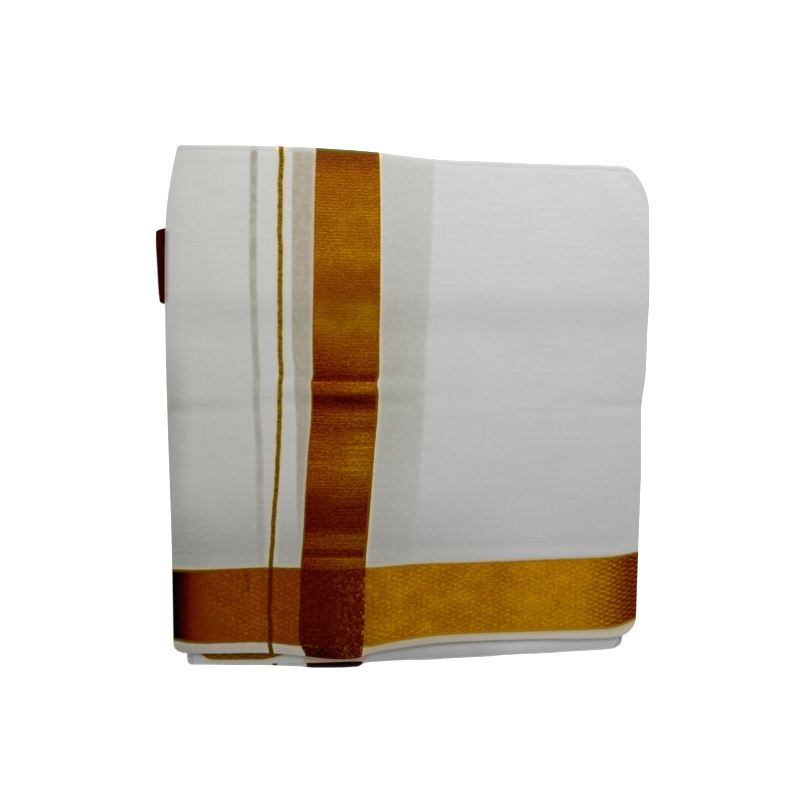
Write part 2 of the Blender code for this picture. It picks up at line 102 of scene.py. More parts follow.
ROLL_RIGHT = Corner(9.0, 8.0, 2.0)
for name, edge in (("left", LEFT_EDGE), ("right", RIGHT_EDGE), ("front", FRONT_EDGE), ("back", BACK_EDGE)):
    print("the", name, "edge is drawn through", len(edge), "points")

# %% [markdown]
# ## Curves through the edges
#
# A straight line from point to point would give the cloth corners that it doesn't have. A cubic curve
# passes through every point and bends evenly in between. A Bezier curve would do as well, but this one
# gives the edge at any distance with a short formula, and every row of the cloth asks for that.

# %% Curves
def smooth_through(points, along):
    """A smooth curve through (along, out) points. Past its ends it runs straight on."""
    last = len(points) - 1
    slopes = [
        (points[min(i + 1, last)][1] - points[max(i - 1, 0)][1])
        / (points[min(i + 1, last)][0] - points[max(i - 1, 0)][0])
        for i in range(last + 1)
    ]
    if along <= points[0][0]:
        return points[0][1] + slopes[0] * (along - points[0][0])
    if along >= points[last][0]:
        return points[last][1] + slopes[last] * (along - points[last][0])
    i = next(k for k in range(last) if along <= points[k + 1][0])
    span = points[i + 1][0] - points[i][0]
    t = (along - points[i][0]) / span
    return (
        points[i][1] * (2 * t**3 - 3 * t**2 + 1)
        + points[i + 1][1] * (3 * t**2 - 2 * t**3)
        + slopes[i] * span * (t**3 - 2 * t**2 + t)
        + slopes[i + 1] * span * (t**3 - t**2)
    )


def mix(a, b, t):
    return a + (b - a) * t


def limited(share):
    """The share, kept between 0 and 1."""
    return min(1.0, max(0.0, share))


def ease(low, high, value):
    """0 below low, 1 above high, and smooth between."""
    t = limited((value - low) / (high - low))
    return t * t * (3 - 2 * t)


def corner_cut(corner, into):
    """How far a rounded corner takes the side in, this far from the end of the panel."""
    rise = 1 - limited(into / corner.deep)
    return corner.across * (1 - (1 - rise**corner.fullness) ** (1 / corner.fullness))


front_y, back_y, roll_y = (partial(smooth_through, edge) for edge in (FRONT_EDGE, BACK_EDGE, ROLL_EDGE))


def left_x(y):
    x = smooth_through(LEFT_EDGE, y)
    return x + max(corner_cut(FRONT_LEFT, y - front_y(x)), corner_cut(BACK_LEFT, back_y(x) - y))


def right_x(y):
    x = smooth_through(RIGHT_EDGE, y)
    return x - max(corner_cut(FRONT_RIGHT, y - front_y(x)), corner_cut(BACK_RIGHT, back_y(x) - y))


print("packet, mm: left", round(left_x(0), 1), "right", round(right_x(0), 1),
      "front", round(front_y(0), 1), "back", round(back_y(0), 1))

# %% [markdown]
# ## The weave chart
#
# Everything that is woven in is fixed to the cloth, not to the packet, so the cloth gets its own
# coordinates: `u` runs along the length of the cloth and `v` runs across it from the selvedge. Both are in
# millimetres of flat cloth. Each piece stores them as a UV map, and one material reads that map like a
# weaver's chart. Where the cloth was pulled while it was folded, the map bends and the pattern bends with
# it.

# %% The chart's measures
SELVEDGE = 6.5          # plain strip outside the border
BORDER_TOP = 54.5       # the border is 48 mm wide
LINE_AT = 71.8          # the narrow cross line, from the packet's left fold
LINE_HALF = 1.55
BAND_FROM = 93.4        # the wide cross band
BAND_TO = 136.6
BAND_MIDDLE = 115.0
FOLD_MARK = 188.0       # the mark of the fold across the middle, in v
SECOND_U = 600.0        # the u of the lower cloths' middle, well past the top cloth's
CUT_LENGTH, CUT_WIDTH = 3.60, 1.14      # the whole cloth, in metres

# Where the woven cross lines pass on the top leaf, seen from above, at each distance y.
WeftPath = namedtuple("WeftPath", "y line band_left band_right")
TOP_WEFTS = rows_of(WeftPath, [
    (170, -81.5, -60.1, -19.8), (134, -82.6, -61.3, -19.0), (71, -83.5, -62.4, -19.1),
    (39, -83.4, -62.8, -19.4), (22, -82.9, -62.6, -19.6), (17, -83.4, -64.0, -20.9),
    (11, -83.8, -63.5, -20.0), (-7, -83.9, -63.9, -20.8), (-26, -84.4, -65.7, -22.6),
    (-58, -86.5, -67.9, -25.0), (-84, -88.4, -69.3, -27.1), (-98, -89.3, -70.6, -28.3),
    (-123, -90.2, -71.3, -29.0), (-149, -90.0, -72.0, -29.7), (-158, -88.6, -68.4, -30.6),
])
ROLL_WEFTS = rows_of(WeftPath, [
    (150, -81.9, -60.6, -19.6), (0, -85.0, -64.6, -24.0), (-150, -86.8, -66.6, -29.6),
])
BORDER_TOP_LINE = rows_of(EdgePoint, [
    (-151, -101.8), (-131, -102.2), (-92, -101.5), (-71, -102.3), (-28, -103.2), (7, -101.4),
    (44, -101.2), (88, -100.5), (131, -99.8), (142, -98.9), (154, -97.2),
])
BORDER_LOW_LINE = rows_of(EdgePoint, [
    (-151, -147.8), (-137, -149.7), (-96, -150.1), (-71, -153.3), (-28, -155.6), (-8, -152.3),
    (20, -149.2), (85, -148.2), (132, -147.9), (143, -146.5), (154, -143.1),
])


def weft_at(paths, column, y):
    return smooth_through([(row.y, getattr(row, column)) for row in reversed(paths)], y)


def chart_u(paths, x, y):
    """The length coordinate of the cloth at x, y, from where the cross lines pass beside it."""
    line = weft_at(paths, "line", y)
    band_left = weft_at(paths, "band_left", y)
    band_right = weft_at(paths, "band_right", y)
    if x <= line:
        return LINE_AT + x - line
    if x <= band_left:
        return mix(LINE_AT, BAND_FROM, (x - line) / (band_left - line))
    if x <= band_right:
        return mix(BAND_FROM, BAND_TO, (x - band_left) / (band_right - band_left))
    return BAND_TO + x - band_right


def chart_v(x, y):
    """The width coordinate on the top leaf. The selvedge, border and panel are stretched apart."""
    low, top = smooth_through(BORDER_LOW_LINE, x), smooth_through(BORDER_TOP_LINE, x)
    if y <= low:
        return SELVEDGE * (y - front_y(x)) / (low - front_y(x))
    if y <= top:
        return mix(SELVEDGE, BORDER_TOP, (y - low) / (top - low))
    return BORDER_TOP + y - top


print("the whole cut is", CUT_LENGTH, "by", CUT_WIDTH, "m, its border", BORDER_TOP - SELVEDGE, "mm wide")

# %% [markdown]
# ## The height of the top leaf, and its creases
#
# The packet is three turns thick in front and four behind, so the top leaf climbs a little over the end of
# the inner turn. It comes down towards its folds. On top of that form lie the marks that folding leaves:
# soft troughs and ridges. Each is placed one by one, as a line with a height and a width, because no
# simulation would put them where this packet has them. The height swells and dies away along the line, and
# a slow noise keeps it from looking ruled.

# %% The form of the top leaf
FRONT_HEIGHT, BACK_HEIGHT = 12.0, 15.0
RAMP_FRONT, RAMP_BACK = 46.0, 78.0
Drop = namedtuple("Drop", "deep wide")
LEFT_DROP, RIGHT_DROP, FRONT_DROP = rows_of(Drop, [(2.5, 12.0), (4.0, 24.0), (1.0, 14.0)])

Crease = namedtuple("Crease", "x1 y1 x2 y2 height width")
TOP_CREASES = rows_of(Crease, [
    # the mark of the fold across the middle, sharpest in the stiff gold band
    (-84, 13.5, -2, 13.0, 0.55, 5.0),
    (-76, 21.5, -6, 22.0, -0.45, 3.2),
    (-80, 4.5, -8, 3.0, -0.60, 4.0),
    (-170, -1.0, -104, 2.0, -0.35, 4.5),
    (122, 1.5, 176, -1.0, -0.55, 4.0),
    (10, 9.0, 92, 8.0, -0.16, 6.0),
    # the soft trough above the border, and the border's stiff upper edge
    (-150, -93.0, 150, -91.0, -0.35, 5.0),
    (-140, -97.5, 140, -96.0, 0.22, 3.0),
    # bulges and dips in the gold band
    (-70, -42, -22, -38, 0.35, 11.0),
    (-72, -66, -24, -64, -0.35, 7.0),
    (-68, -86, -26, -88, -0.30, 4.0),
    (-66, 52, -18, 50, -0.25, 8.0),
    # slack in the plain panel
    (36, 46, 112, 28, -0.35, 12.0),
    (64, 78, 140, 62, 0.25, 14.0),
    (20, 140, 70, 96, -0.20, 12.0),
    (-140, 120, -108, 60, 0.18, 10.0),
    (-126, -30, -106, -84, -0.20, 9.0),
    (60, -30, 120, -60, 0.22, 13.0),
    (0, -40, 40, -84, -0.18, 10.0),
    # the pucker at the right back corner
    (136, 158, 158, 138, -0.50, 3.0),
    (128, 150, 156, 118, 0.30, 6.0),
])


print("creases on the top leaf:", len(TOP_CREASES))

# %% [markdown]
# ## From creases to a height
#
# A crease is a bump across its line, of the shape exp(-x * x), and the heights of all creases are added up.
# The slack of loose cloth is a slow noise. The three together give the height of the cloth at any point.

# %% Height of the top leaf
def crease_height(creases, x, y):
    """The sum of all creases at a point, in millimetres."""
    total = 0.0
    for crease in creases:
        run = Vector((crease.x2 - crease.x1, crease.y2 - crease.y1))
        offset = Vector((x - crease.x1, y - crease.y1))
        share = offset.dot(run) / run.length_squared
        if not -0.3 < share < 1.3:
            continue
        sway = 1.4 * noise.noise(Vector((x, y, crease.width)) * 0.045)
        off_line = (run.x * offset.y - run.y * offset.x) / run.length + sway
        if abs(off_line) > 3 * crease.width:
            continue
        swell = ease(-0.3, 0.15, share) * (1 - ease(0.85, 1.3, share))
        total += crease.height * swell * math.exp(-((off_line / crease.width) ** 2))
    return total


def slack(x, y, seed):
    """Slow unevenness of cloth that lies loose."""
    broad = noise.noise(Vector((x * 0.016, y * 0.016, seed)))
    fine = noise.noise(Vector((x * 0.06, y * 0.06, seed + 7.0)))
    return 0.45 * broad + 0.10 * fine


def top_height(x, y):
    """The top leaf's form, without creases. It drops towards each fold as that side's Drop says."""
    height = mix(FRONT_HEIGHT, BACK_HEIGHT, ease(RAMP_FRONT, RAMP_BACK, y))
    for drop, inwards in (
        (LEFT_DROP, x - smooth_through(LEFT_EDGE, y)),
        (RIGHT_DROP, smooth_through(RIGHT_EDGE, y) - x),
        (FRONT_DROP, y - front_y(x)),
    ):
        height -= drop.deep * (1 - limited(inwards / drop.wide)) ** 2
    return height


def top_surface(x, y):
    """The height of the top cloth's upper side, creases and slack included."""
    return top_height(x, y) + crease_height(TOP_CREASES, x, y) + slack(x, y, 3.0)


print("the top leaf at the middle of the band crease:", round(top_surface(-42, 13), 2), "mm up")

# %% [markdown]
# ## Cloth from rows
#
# Each visible cloth is a grid of points: rows from the front edge backwards, and in each row a fold at the
# left, the open panel and a fold at the right. A stitch is one point of a row: its place, its `u` and its
# `v`. The helper below joins the rows into a mesh, stores `u` and `v` as its UV map, and gives the sheet a
# real thickness with a Solidify modifier, which is then applied.

# %% A helper for cloth
PLY = 0.30              # thickness of a single ply
Stitch = namedtuple("Stitch", "place u v")


def spread(start, end, step):
    """Even positions from start to end, about this far apart."""
    count = max(1, round(abs(end - start) / step))
    return [mix(start, end, k / count) for k in range(count + 1)]


def new_object(name, data):
    """A new object in the scene: a piece from a mesh, or a lamp or a camera."""
    thing = bpy.data.objects.new(name, data)
    bpy.context.scene.collection.objects.link(thing)
    return thing


def piece_of(name, mesh):
    """A new piece from a bmesh, which is then let go."""
    data = bpy.data.meshes.new(name)
    mesh.to_mesh(data)
    mesh.free()
    return new_object(name, data)


def apply_modifiers(piece):
    """Replaces a piece's mesh by the evaluated one and removes its modifiers."""
    evaluated = piece.evaluated_get(bpy.context.evaluated_depsgraph_get())
    piece.data = bpy.data.meshes.new_from_object(evaluated)
    piece.data.name = piece.name
    piece.modifiers.clear()


def cloth(name, rows, thickness=PLY):
    """A sheet of cloth through rows of stitches, with its pattern coordinates in the UV map "weave"."""
    mesh = bmesh.new()
    weave = mesh.loops.layers.uv.new("weave")
    grid = [[mesh.verts.new(stitch.place * MM) for stitch in row] for row in rows]
    for i in range(len(rows) - 1):
        for j in range(len(rows[0]) - 1):
            corners = [(i, j), (i, j + 1), (i + 1, j + 1), (i + 1, j)]
            face = mesh.faces.new([grid[a][b] for a, b in corners])
            face.smooth = True
            for loop, (a, b) in zip(face.loops, corners):
                loop[weave].uv = (rows[a][b].u * MM, rows[a][b].v * MM)
    piece = piece_of(name, mesh)
    wall = piece.modifiers.new("thickness", "SOLIDIFY")
    wall.thickness = thickness * MM
    wall.offset = -1
    wall.use_quality_normals = True
    apply_modifiers(piece)
    print(name, "has", len(piece.data.polygons), "faces")
    return piece


print("a ply of the cloth is", PLY, "mm thick")

# %% [markdown]
# ## The folds at both sides
#
# At the left and right the cloth turns round and runs a little way back in. Each row gets that turn at both
# ends: a half circle that starts square to the cloth there, and a short lap. Past the fold line `u` simply
# runs on.

# %% Side folds
FOLD = 0.60             # radius of a fold at the side of the packet
SIDE_STEPS = 7
LAPS = (2.0, 4.5, 7.0)  # how far the folded ply runs back in


def with_side_folds(row, normals, chart):
    """A row of stitches through a row of places, with the folds at both ends."""
    sides = []
    for edge, beside, normal, sign in ((row[0], row[1], normals[0], -1), (row[-1], row[-2], normals[1], 1)):
        outwards = (edge - beside).normalized()
        centre = edge - normal * FOLD
        turn = [
            centre + FOLD * (math.sin(a) * outwards + math.cos(a) * normal)
            for a in (math.pi * step / SIDE_STEPS for step in range(1, SIDE_STEPS + 1))
        ]
        turn += [turn[-1] - outwards * lap for lap in LAPS]
        side, last = [], edge
        u, v = chart(edge)
        for place in turn:
            u += sign * (place - last).length
            side.append(Stitch(place, u, v))
            last = place
        sides.append(side)
    return sides[0][::-1] + [Stitch(place, *chart(place)) for place in row] + sides[1]


def row_normals(rows, i):
    """The outward normals at both ends of row i."""
    after, before = rows[min(i + 1, len(rows) - 1)], rows[max(i - 1, 0)]
    row = rows[i]
    left = (row[1] - row[0]).cross(after[0] - before[0]).normalized()
    right = (row[-1] - row[-2]).cross(after[-1] - before[-1]).normalized()
    return left, right


print("it folds round", FOLD, "mm and laps", LAPS[-1], "mm at the sides")

# %% [markdown]
# ## The top cloth's rows
#
# The outermost ply starts at the selvedge in front, covers the panel, goes round the back fold and runs a
# little way forward underneath. The steps are about 2 mm, small enough for the creases. Round the back fold
# `v` simply runs on, so the bands go round it without a break.

# %% Rows of the top cloth
GRID_STEP = 2.0
BACK_STEPS = 14
BACK_FOLD_DEPTH = 5.5
UNDERLAP = 14.0
PANEL_DEPTH = 322       # from the front edge to the back fold, for counting rows


def places(left, right, y_of, z_of, stray=lambda x: 0.0, step=GRID_STEP):
    """A row of places: y_of gives y at x, z_of the height there, and stray moves the place in y alone."""
    return [Vector((x, y_of(x) + stray(x), z_of(x, y_of(x)))) for x in spread(left, right, step)]


def leaf_row(y_of, *height_and_stray):
    """Places across the top leaf, with room for the folds at both ends."""
    return places(left_x(y_of(-150)) + FOLD, right_x(y_of(150)) - FOLD, y_of, *height_and_stray)


def turn_start(x):
    """Where the leaf begins to turn down at the back, in y."""
    return back_y(x) - BACK_FOLD_DEPTH


def panel_row(share):
    return leaf_row(lambda x: mix(front_y(x), turn_start(x), share), top_surface)


def back_fold_row(angle):
    """A row round the back fold, which is a flattened half circle."""
    def height(x, _):
        half = top_height(x, turn_start(x)) / 2
        lift = top_surface(x, turn_start(x)) - 2 * half
        return half + half * math.cos(angle) + lift * (1 + math.cos(angle)) / 2

    def stray(x):
        return 0.5 * math.sin(angle) * noise.noise(Vector((x * 0.03, 4.0, angle)))
    return leaf_row(lambda x: back_y(x) - BACK_FOLD_DEPTH * (1 - math.sin(angle)), height, stray)


def underlap_row(depth):
    return leaf_row(lambda x: turn_start(x) - depth, lambda x, y: 0.0)


print("at the back the top leaf turns down from y =", round(turn_start(0), 1), "mm")

# %% [markdown]
# ## The top cloth from its rows
#
# Each row is as wide as the packet there, so the rows have different numbers of points. They are resampled
# to one number and joined. Past the panel `v` is measured along the rows instead of read from the chart.

# %% Top cloth
def same_count(rows):
    """Rows are resampled to one number of points, so that they join into a grid."""
    count = max(len(row) for row in rows)
    even = []
    for row in rows:
        out = []
        for k in range(count):
            at = k * (len(row) - 1) / (count - 1)
            i = min(int(at), len(row) - 2)
            out.append(row[i].lerp(row[i + 1], at - i))
        even.append(out)
    return even


def top_cloth():
    shares = spread(0, 1, GRID_STEP / PANEL_DEPTH)
    rows = [panel_row(share) for share in [0.0, 0.0015, 0.0035, *shares[1:]]]
    turned = [math.pi * step / BACK_STEPS for step in range(1, BACK_STEPS + 1)]
    rows += [back_fold_row(angle) for angle in turned]
    rows += [underlap_row(depth) for depth in spread(0, UNDERLAP, GRID_STEP)[1:]]
    rows = same_count(rows)
    panel_rows = len(rows) - len(turned) - len(spread(0, UNDERLAP, GRID_STEP)) + 1
    stitched = []
    run_on = 0.0
    for i, row in enumerate(rows):
        if i >= panel_rows:
            run_on += (row[len(row) // 2] - rows[i - 1][len(row) // 2]).length

        def chart(place, run_on=run_on, i=i):
            y = place.y if i < panel_rows else turn_start(place.x)
            return chart_u(TOP_WEFTS, place.x, y), chart_v(place.x, y) + run_on
        stitched.append(with_side_folds(row, row_normals(rows, i), chart))
    return cloth("top_cloth", stitched), run_on


top, back_run = top_cloth()
print("round the back fold v runs on by", round(back_run, 1), "mm")

# %% [markdown]
# ## The under cloth and the roll
#
# The same ply runs on forward, flat on the surface, turns up in the roll in front and is tucked in under
# the top leaves. It is a cloth of its own here because it follows a solid of its own. Its first row is the
# top cloth's last one, so no seam shows.

# %% Rows of the under cloth
ROLL_STEPS = 14
ROLL_DEPTH = 5.0
ROLL_TUCK = 24.0
UNDERSIDE_DEPTH = 305   # from the roll to the underlap, for counting rows
FRONT_INSET, BACK_INSET = 9.0, 2.0
ROLL_BELOW = 3.3        # from the top leaf's surface down to the roll
UNDER_CREASES = rows_of(Crease, [
    (-170, 10, 170, 12, 0.30, 5.0),
    (-66, -60, -24, -58, 0.22, 7.0),
    (40, 60, 120, 40, 0.22, 9.0),
    (-140, -100, 140, -104, 0.20, 6.0),
    (-120, 110, -90, 40, 0.18, 8.0),
    (60, -20, 130, -70, 0.16, 9.0),
])


def lower_inset(y):
    """How far the lower layers' sides lie inside the top leaf's."""
    return mix(FRONT_INSET, BACK_INSET, ease(-165, 120, y))


def side_edge(side, y):
    """The top leaf's edge beside a lower layer: side is 1 at the left and -1 at the right."""
    return left_x(max(y, -145)) if side == 1 else right_x(max(y, -140))


def roll_top(x):
    return top_height(x, front_y(x)) - ROLL_BELOW


def lower_row(y_of, z_of, stray=lambda x: 0.0, inset=0.0):
    """Places across a lower layer, whose sides lie inside the top leaf's."""
    ends = []
    for x, side, corner in ((-144, 1, ROLL_LEFT), (146, -1, ROLL_RIGHT)):
        y = y_of(x)
        cut = corner_cut(corner, y - roll_y(x))
        ends.append(side_edge(side, y) + side * (lower_inset(y) + inset + cut + FOLD))
    return places(*ends, y_of, z_of, stray)


def roll_start(x):
    return roll_y(x) + ROLL_DEPTH


def underside_row(share):
    def height(x, y):
        return max(0.0, crease_height(UNDER_CREASES, x, y))
    return lower_row(lambda x: mix(turn_start(x) - UNDERLAP, roll_start(x), share), height)


def roll_row(angle):
    """A row round the roll, which is a flattened half circle."""
    def height(x, _):
        half = roll_top(x) / 2
        return half - half * math.cos(angle)

    def stray(x):
        return 0.6 * math.sin(angle) * noise.noise(Vector((x * 0.035, 11.0, angle * 0.6)))
    return lower_row(lambda x: roll_start(x) - ROLL_DEPTH * math.sin(angle), height, stray)


def tuck_row(depth):
    return lower_row(lambda x: roll_start(x) + depth, lambda x, y: roll_top(x))


print("the roll's top lies", round(roll_top(0), 1), "mm up")

# %% [markdown]
# ## The under cloth from its rows
#
# The rows go from the back fold forwards, round the roll and back into the packet. `v` is measured along
# them from where the top cloth ended.

# %% Under cloth
def under_cloth():
    rows = [underside_row(share) for share in spread(0, 1, GRID_STEP / UNDERSIDE_DEPTH)]
    rows += [roll_row(math.pi * step / ROLL_STEPS) for step in range(1, ROLL_STEPS + 1)]
    rows += [tuck_row(depth) for depth in spread(0, ROLL_TUCK, 4.0)[1:]]
    rows = same_count(rows)
    stitched = []
    run = chart_v(0, turn_start(0)) + back_run
    for i, row in enumerate(rows):
        middle = len(row) // 2
        run += (row[middle] - rows[max(i - 1, 0)][middle]).length

        def chart(place, run=run):
            return chart_u(ROLL_WEFTS, place.x, place.y), run
        stitched.append(with_side_folds(row, row_normals(rows, i), chart))
    return cloth("under_cloth", stitched)


under = under_cloth()

# %% [markdown]
# ## The second cloth
#
# The next panel of the cloth lies just under the top leaf and reaches farther forward. Its plain selvedge
# bends over the roll, and at the left a sliver of its border shows. Only its front part is made, because
# the rest is hidden.

# %% Second cloth
SECOND_DEPTH = 66.0
SECOND_BELOW = 1.9
SECOND_INSET = 3.0


def second_row(depth):
    """A row of the second cloth. Its front edge comes down over the roll's shoulder."""
    def height(x, y):
        resting = top_height(x, max(y, front_y(x))) - SECOND_BELOW
        half = roll_top(x) / 2
        over = limited((roll_start(x) - y) / ROLL_DEPTH)
        shoulder = half + half * math.sqrt(1 - over * over) + PLY + 0.10
        lift = ease(1.0, 8.0, y - roll_y(x))
        uneven = 0.25 * noise.noise(Vector((x * 0.05, depth * 0.1, 2.0)))
        return mix(shoulder, resting, lift) + uneven
    return lower_row(lambda x: smooth_through(SECOND_EDGE, x) + depth, height, inset=SECOND_INSET)


def second_v(place):
    """Its selvedge is rolled under at the left, so there the border starts nearer to its edge and shows."""
    showing = ease(-146, -127, place.x) * (1 - ease(-98, -56, place.x))
    return place.y - smooth_through(SECOND_EDGE, place.x) + mix(-6.5, 3.7, showing)


def second_cloth():
    rows = same_count([second_row(depth) for depth in [0, 0.7, 1.4, *spread(2.2, SECOND_DEPTH, GRID_STEP)]])
    stitched = [[Stitch(place, SECOND_U + place.x, second_v(place)) for place in row] for row in rows]
    return cloth("second_cloth", stitched)


second = second_cloth()

# %% [markdown]
# ## The selvedges between the two
#
# The front edges of the other panels lie between the top leaf and the second one, none quite above the
# next. Each is a narrow strip that runs back into the packet, where it can't be seen. A loop makes them
# from one row of sizes each: how far below the top leaf it lies, how far back from its edge, and how much
# it waves.

# %% Inner selvedges
InnerEdge = namedtuple("InnerEdge", "below back wave")
INNER_EDGES = rows_of(InnerEdge, [
    (0.50, 3.4, 1.6), (0.95, 2.4, 1.2), (1.90, -1.5, 1.4), (2.35, 0.8, 1.0), (2.80, -0.6, 1.2),
])
INNER_DEPTHS = (0.0, 0.6, 1.5, 4.0, 10.0, 22.0)
INNER_THICKNESS = 0.26
TUCKED = 14.0           # their plain selvedge hides their border


def inner_selvedge(number, edge):
    """The front edge of a panel that lies between: a strip of cloth that disappears into the packet."""
    def y_of(x):
        wave = edge.wave * noise.noise(Vector((x * 0.02, number * 5.0, 1.0)))
        hidden_at_left = 3.5 * (1 - ease(-90, -58, x))
        return front_y(x) + edge.back + wave + hidden_at_left

    def height(x, y):
        return top_height(x, max(y, front_y(x))) - edge.below
    ends = -140.0 + number, 141.0 - number
    stitched = []
    for depth in INNER_DEPTHS:
        row = places(*ends, lambda x: y_of(x) + depth, height, step=3.0)
        stitched.append([Stitch(place, SECOND_U + place.x, depth - TUCKED) for place in row])
    return cloth("inner_selvedge_%d" % (number + 1), stitched, INNER_THICKNESS)


selvedges = [inner_selvedge(number, edge) for number, edge in enumerate(INNER_EDGES)]
print("selvedges that show between:", len(selvedges))

# %% [markdown]
# ## The folded edges at the sides
#
# From the side the packet shows what it is: dozens of folded edges, one above the other, that run in a
# spiral round the turns. They all follow one rule, so Geometry Nodes make them. A script could also copy
# and bend each edge in a loop, but with nodes the number of plies, their pitch and their unevenness stay
# named inputs. The path is the spiral seen from the side, in y and z. Each ply is a copy of it, moved in
# towards the middle of the turns, and a C-shaped profile swept along it makes the fold and the two plies
# that run in from it.

# %% The spiral that the folded edges follow
PathPoint = namedtuple("PathPoint", "place squeeze v")
EDGE_STEP = 3.0
THIRD_BELOW = 2.5       # from the top leaf's path down to the third leaf's
ROLL_BACK = 1.0
INNER_FOLD = 3.6        # the inner back fold lies this far inside the outer one
FOURTH_HEIGHT = 2.2
INNER_LOWER = 0.85      # how far in the inner leaves lie: 0 as the top leaf, 1 as the underside
OUTER_SQUEEZE, ROLL_SQUEEZE, INNER_SQUEEZE = 1.0, 0.92, 0.88


def side_x(side, y, lower):
    """Where the folded edges lie beside y: side is 1 at the left and -1 at the right."""
    if side == 1:
        edge = left_x(min(max(y, -150.0), 163.0))
    else:
        edge = right_x(min(max(y, -148.0), 158.0))
    return edge + side * mix(1.1, lower_inset(y) + 1.3, lower)


def side_height(side, y):
    x = smooth_through(LEFT_EDGE, y) + 1.0 if side == 1 else smooth_through(RIGHT_EDGE, y) - 1.0
    return top_surface(x, y)


def spiral(side, fourth_end):
    """The outermost ply's path at one side: top leaf, back fold, underside, front roll, inner leaves."""
    x_probe = -150.0 if side == 1 else 148.0
    front, back, roll = front_y(x_probe), back_y(x_probe), roll_y(x_probe * 0.93)
    start, turn = front + 8.0, back - BACK_FOLD_DEPTH
    third_front = side_height(side, start + 12.0) - THIRD_BELOW
    radius = third_front / 2
    roll_end, inner_turn = roll + ROLL_BACK + radius, turn - 1.0
    half = side_height(side, turn) / 2

    points = []
    for y in spread(start, turn, EDGE_STEP):
        points.append((side_x(side, y, 0.0), y, side_height(side, y), OUTER_SQUEEZE))
    for k in range(1, 12):
        angle = math.pi * k / 12
        y = turn + BACK_FOLD_DEPTH * math.sin(angle)
        points.append((side_x(side, turn, k / 12), y, half + half * math.cos(angle), OUTER_SQUEEZE))
    points += [(side_x(side, y, 1.0), y, 0.0, OUTER_SQUEEZE) for y in spread(turn, roll_end, EDGE_STEP)]
    for k in range(1, 10):
        angle = math.pi * k / 10
        y = roll + ROLL_BACK + radius * (1 - math.sin(angle))
        points.append((side_x(side, y, 1.0), y, radius - radius * math.cos(angle), ROLL_SQUEEZE))
    for y in spread(roll_end, inner_turn, EDGE_STEP):
        height = side_height(side, max(y, start + 12.0)) - THIRD_BELOW
        points.append((side_x(side, y, INNER_LOWER), y, height, ROLL_SQUEEZE))
    middle = (height + FOURTH_HEIGHT) / 2
    reach = BACK_FOLD_DEPTH - INNER_FOLD + 2.6
    for k in range(1, 9):
        angle = math.pi * k / 9
        y = inner_turn + reach * math.sin(angle)
        z = middle + (height - middle) * math.cos(angle)
        points.append((side_x(side, inner_turn, INNER_LOWER), y, z, INNER_SQUEEZE))
    for y in spread(inner_turn, fourth_end, EDGE_STEP):
        points.append((side_x(side, y, INNER_LOWER), y, FOURTH_HEIGHT, INNER_SQUEEZE))
    path, v, last = [], SELVEDGE, None
    for x, y, z, squeeze in points:
        place = Vector((x, y, z))
        v += (place - last).length if last else 0.0
        path.append(PathPoint(place, squeeze, v))
        last = place
    return path


print("one spiral is", round(spiral(1, 119)[-1].v), "mm long")

# %% [markdown]
# ## The path as a piece
#
# Geometry Nodes take their path from a mesh that is only a chain of edges. Each point carries two numbers
# along with it: how closely the plies lie there, and the `v` of the weave.

# %% Path piece
def path_piece(name, path):
    """The path as a chain of edges, with squeeze and v as attributes."""
    data = bpy.data.meshes.new(name)
    edges = [(i, i + 1) for i in range(len(path) - 1)]
    data.from_pydata([point.place * MM for point in path], edges, [])
    for attribute in ("squeeze", "v"):
        values = data.attributes.new(attribute, "FLOAT", "POINT")
        for i, point in enumerate(path):
            values.data[i].value = getattr(point, attribute)
    return new_object(name, data)


print("the path has a point every", EDGE_STEP, "mm")

# %% [markdown]
# ## Sums made of nodes
#
# Both the folded edges and the weave are worked out by nodes. To keep the sums readable, a small class
# wraps a node's socket: writing `a * b + 1` adds the Math nodes.

# %% Sums on sockets
class Socket:
    """An output of a node. Sums on it add Math nodes."""

    def __init__(self, graph, output):
        self.graph, self.output = graph, output

    def maths(self, operation, *terms):
        """A Math node of these terms, or of this socket alone."""
        return self.graph.node("ShaderNodeMath", {"operation": operation}, dict(enumerate(terms or (self,))))

    def __add__(self, other):
        return self.maths("ADD", self, other)

    def __sub__(self, other):
        return self.maths("SUBTRACT", self, other)

    def __rsub__(self, other):
        return self.maths("SUBTRACT", other, self)

    def __mul__(self, other):
        return self.maths("MULTIPLY", self, other)

    def __truediv__(self, other):
        return self.maths("DIVIDE", self, other)

    __radd__, __rmul__ = __add__, __mul__

    def __abs__(self):
        return self.maths("ABSOLUTE")

    def fraction(self):
        return self.maths("FRACT")

    def largest(self, other):
        return self.maths("MAXIMUM", self, other)

    def least(self, other):
        return self.maths("MINIMUM", self, other)

    def sine(self):
        return self.maths("SINE")

    def cosine(self):
        return self.maths("COSINE")


print("besides sums, a socket knows:", ", ".join(name for name in vars(Socket) if name[0] != "_"))

# %% [markdown]
# ## Nodes from one method
#
# Every other node comes from one method of a node tree. It makes the node, sets what the node is told to
# do, and then gives each of its sockets a value or a link, so that one line of the script is one node.

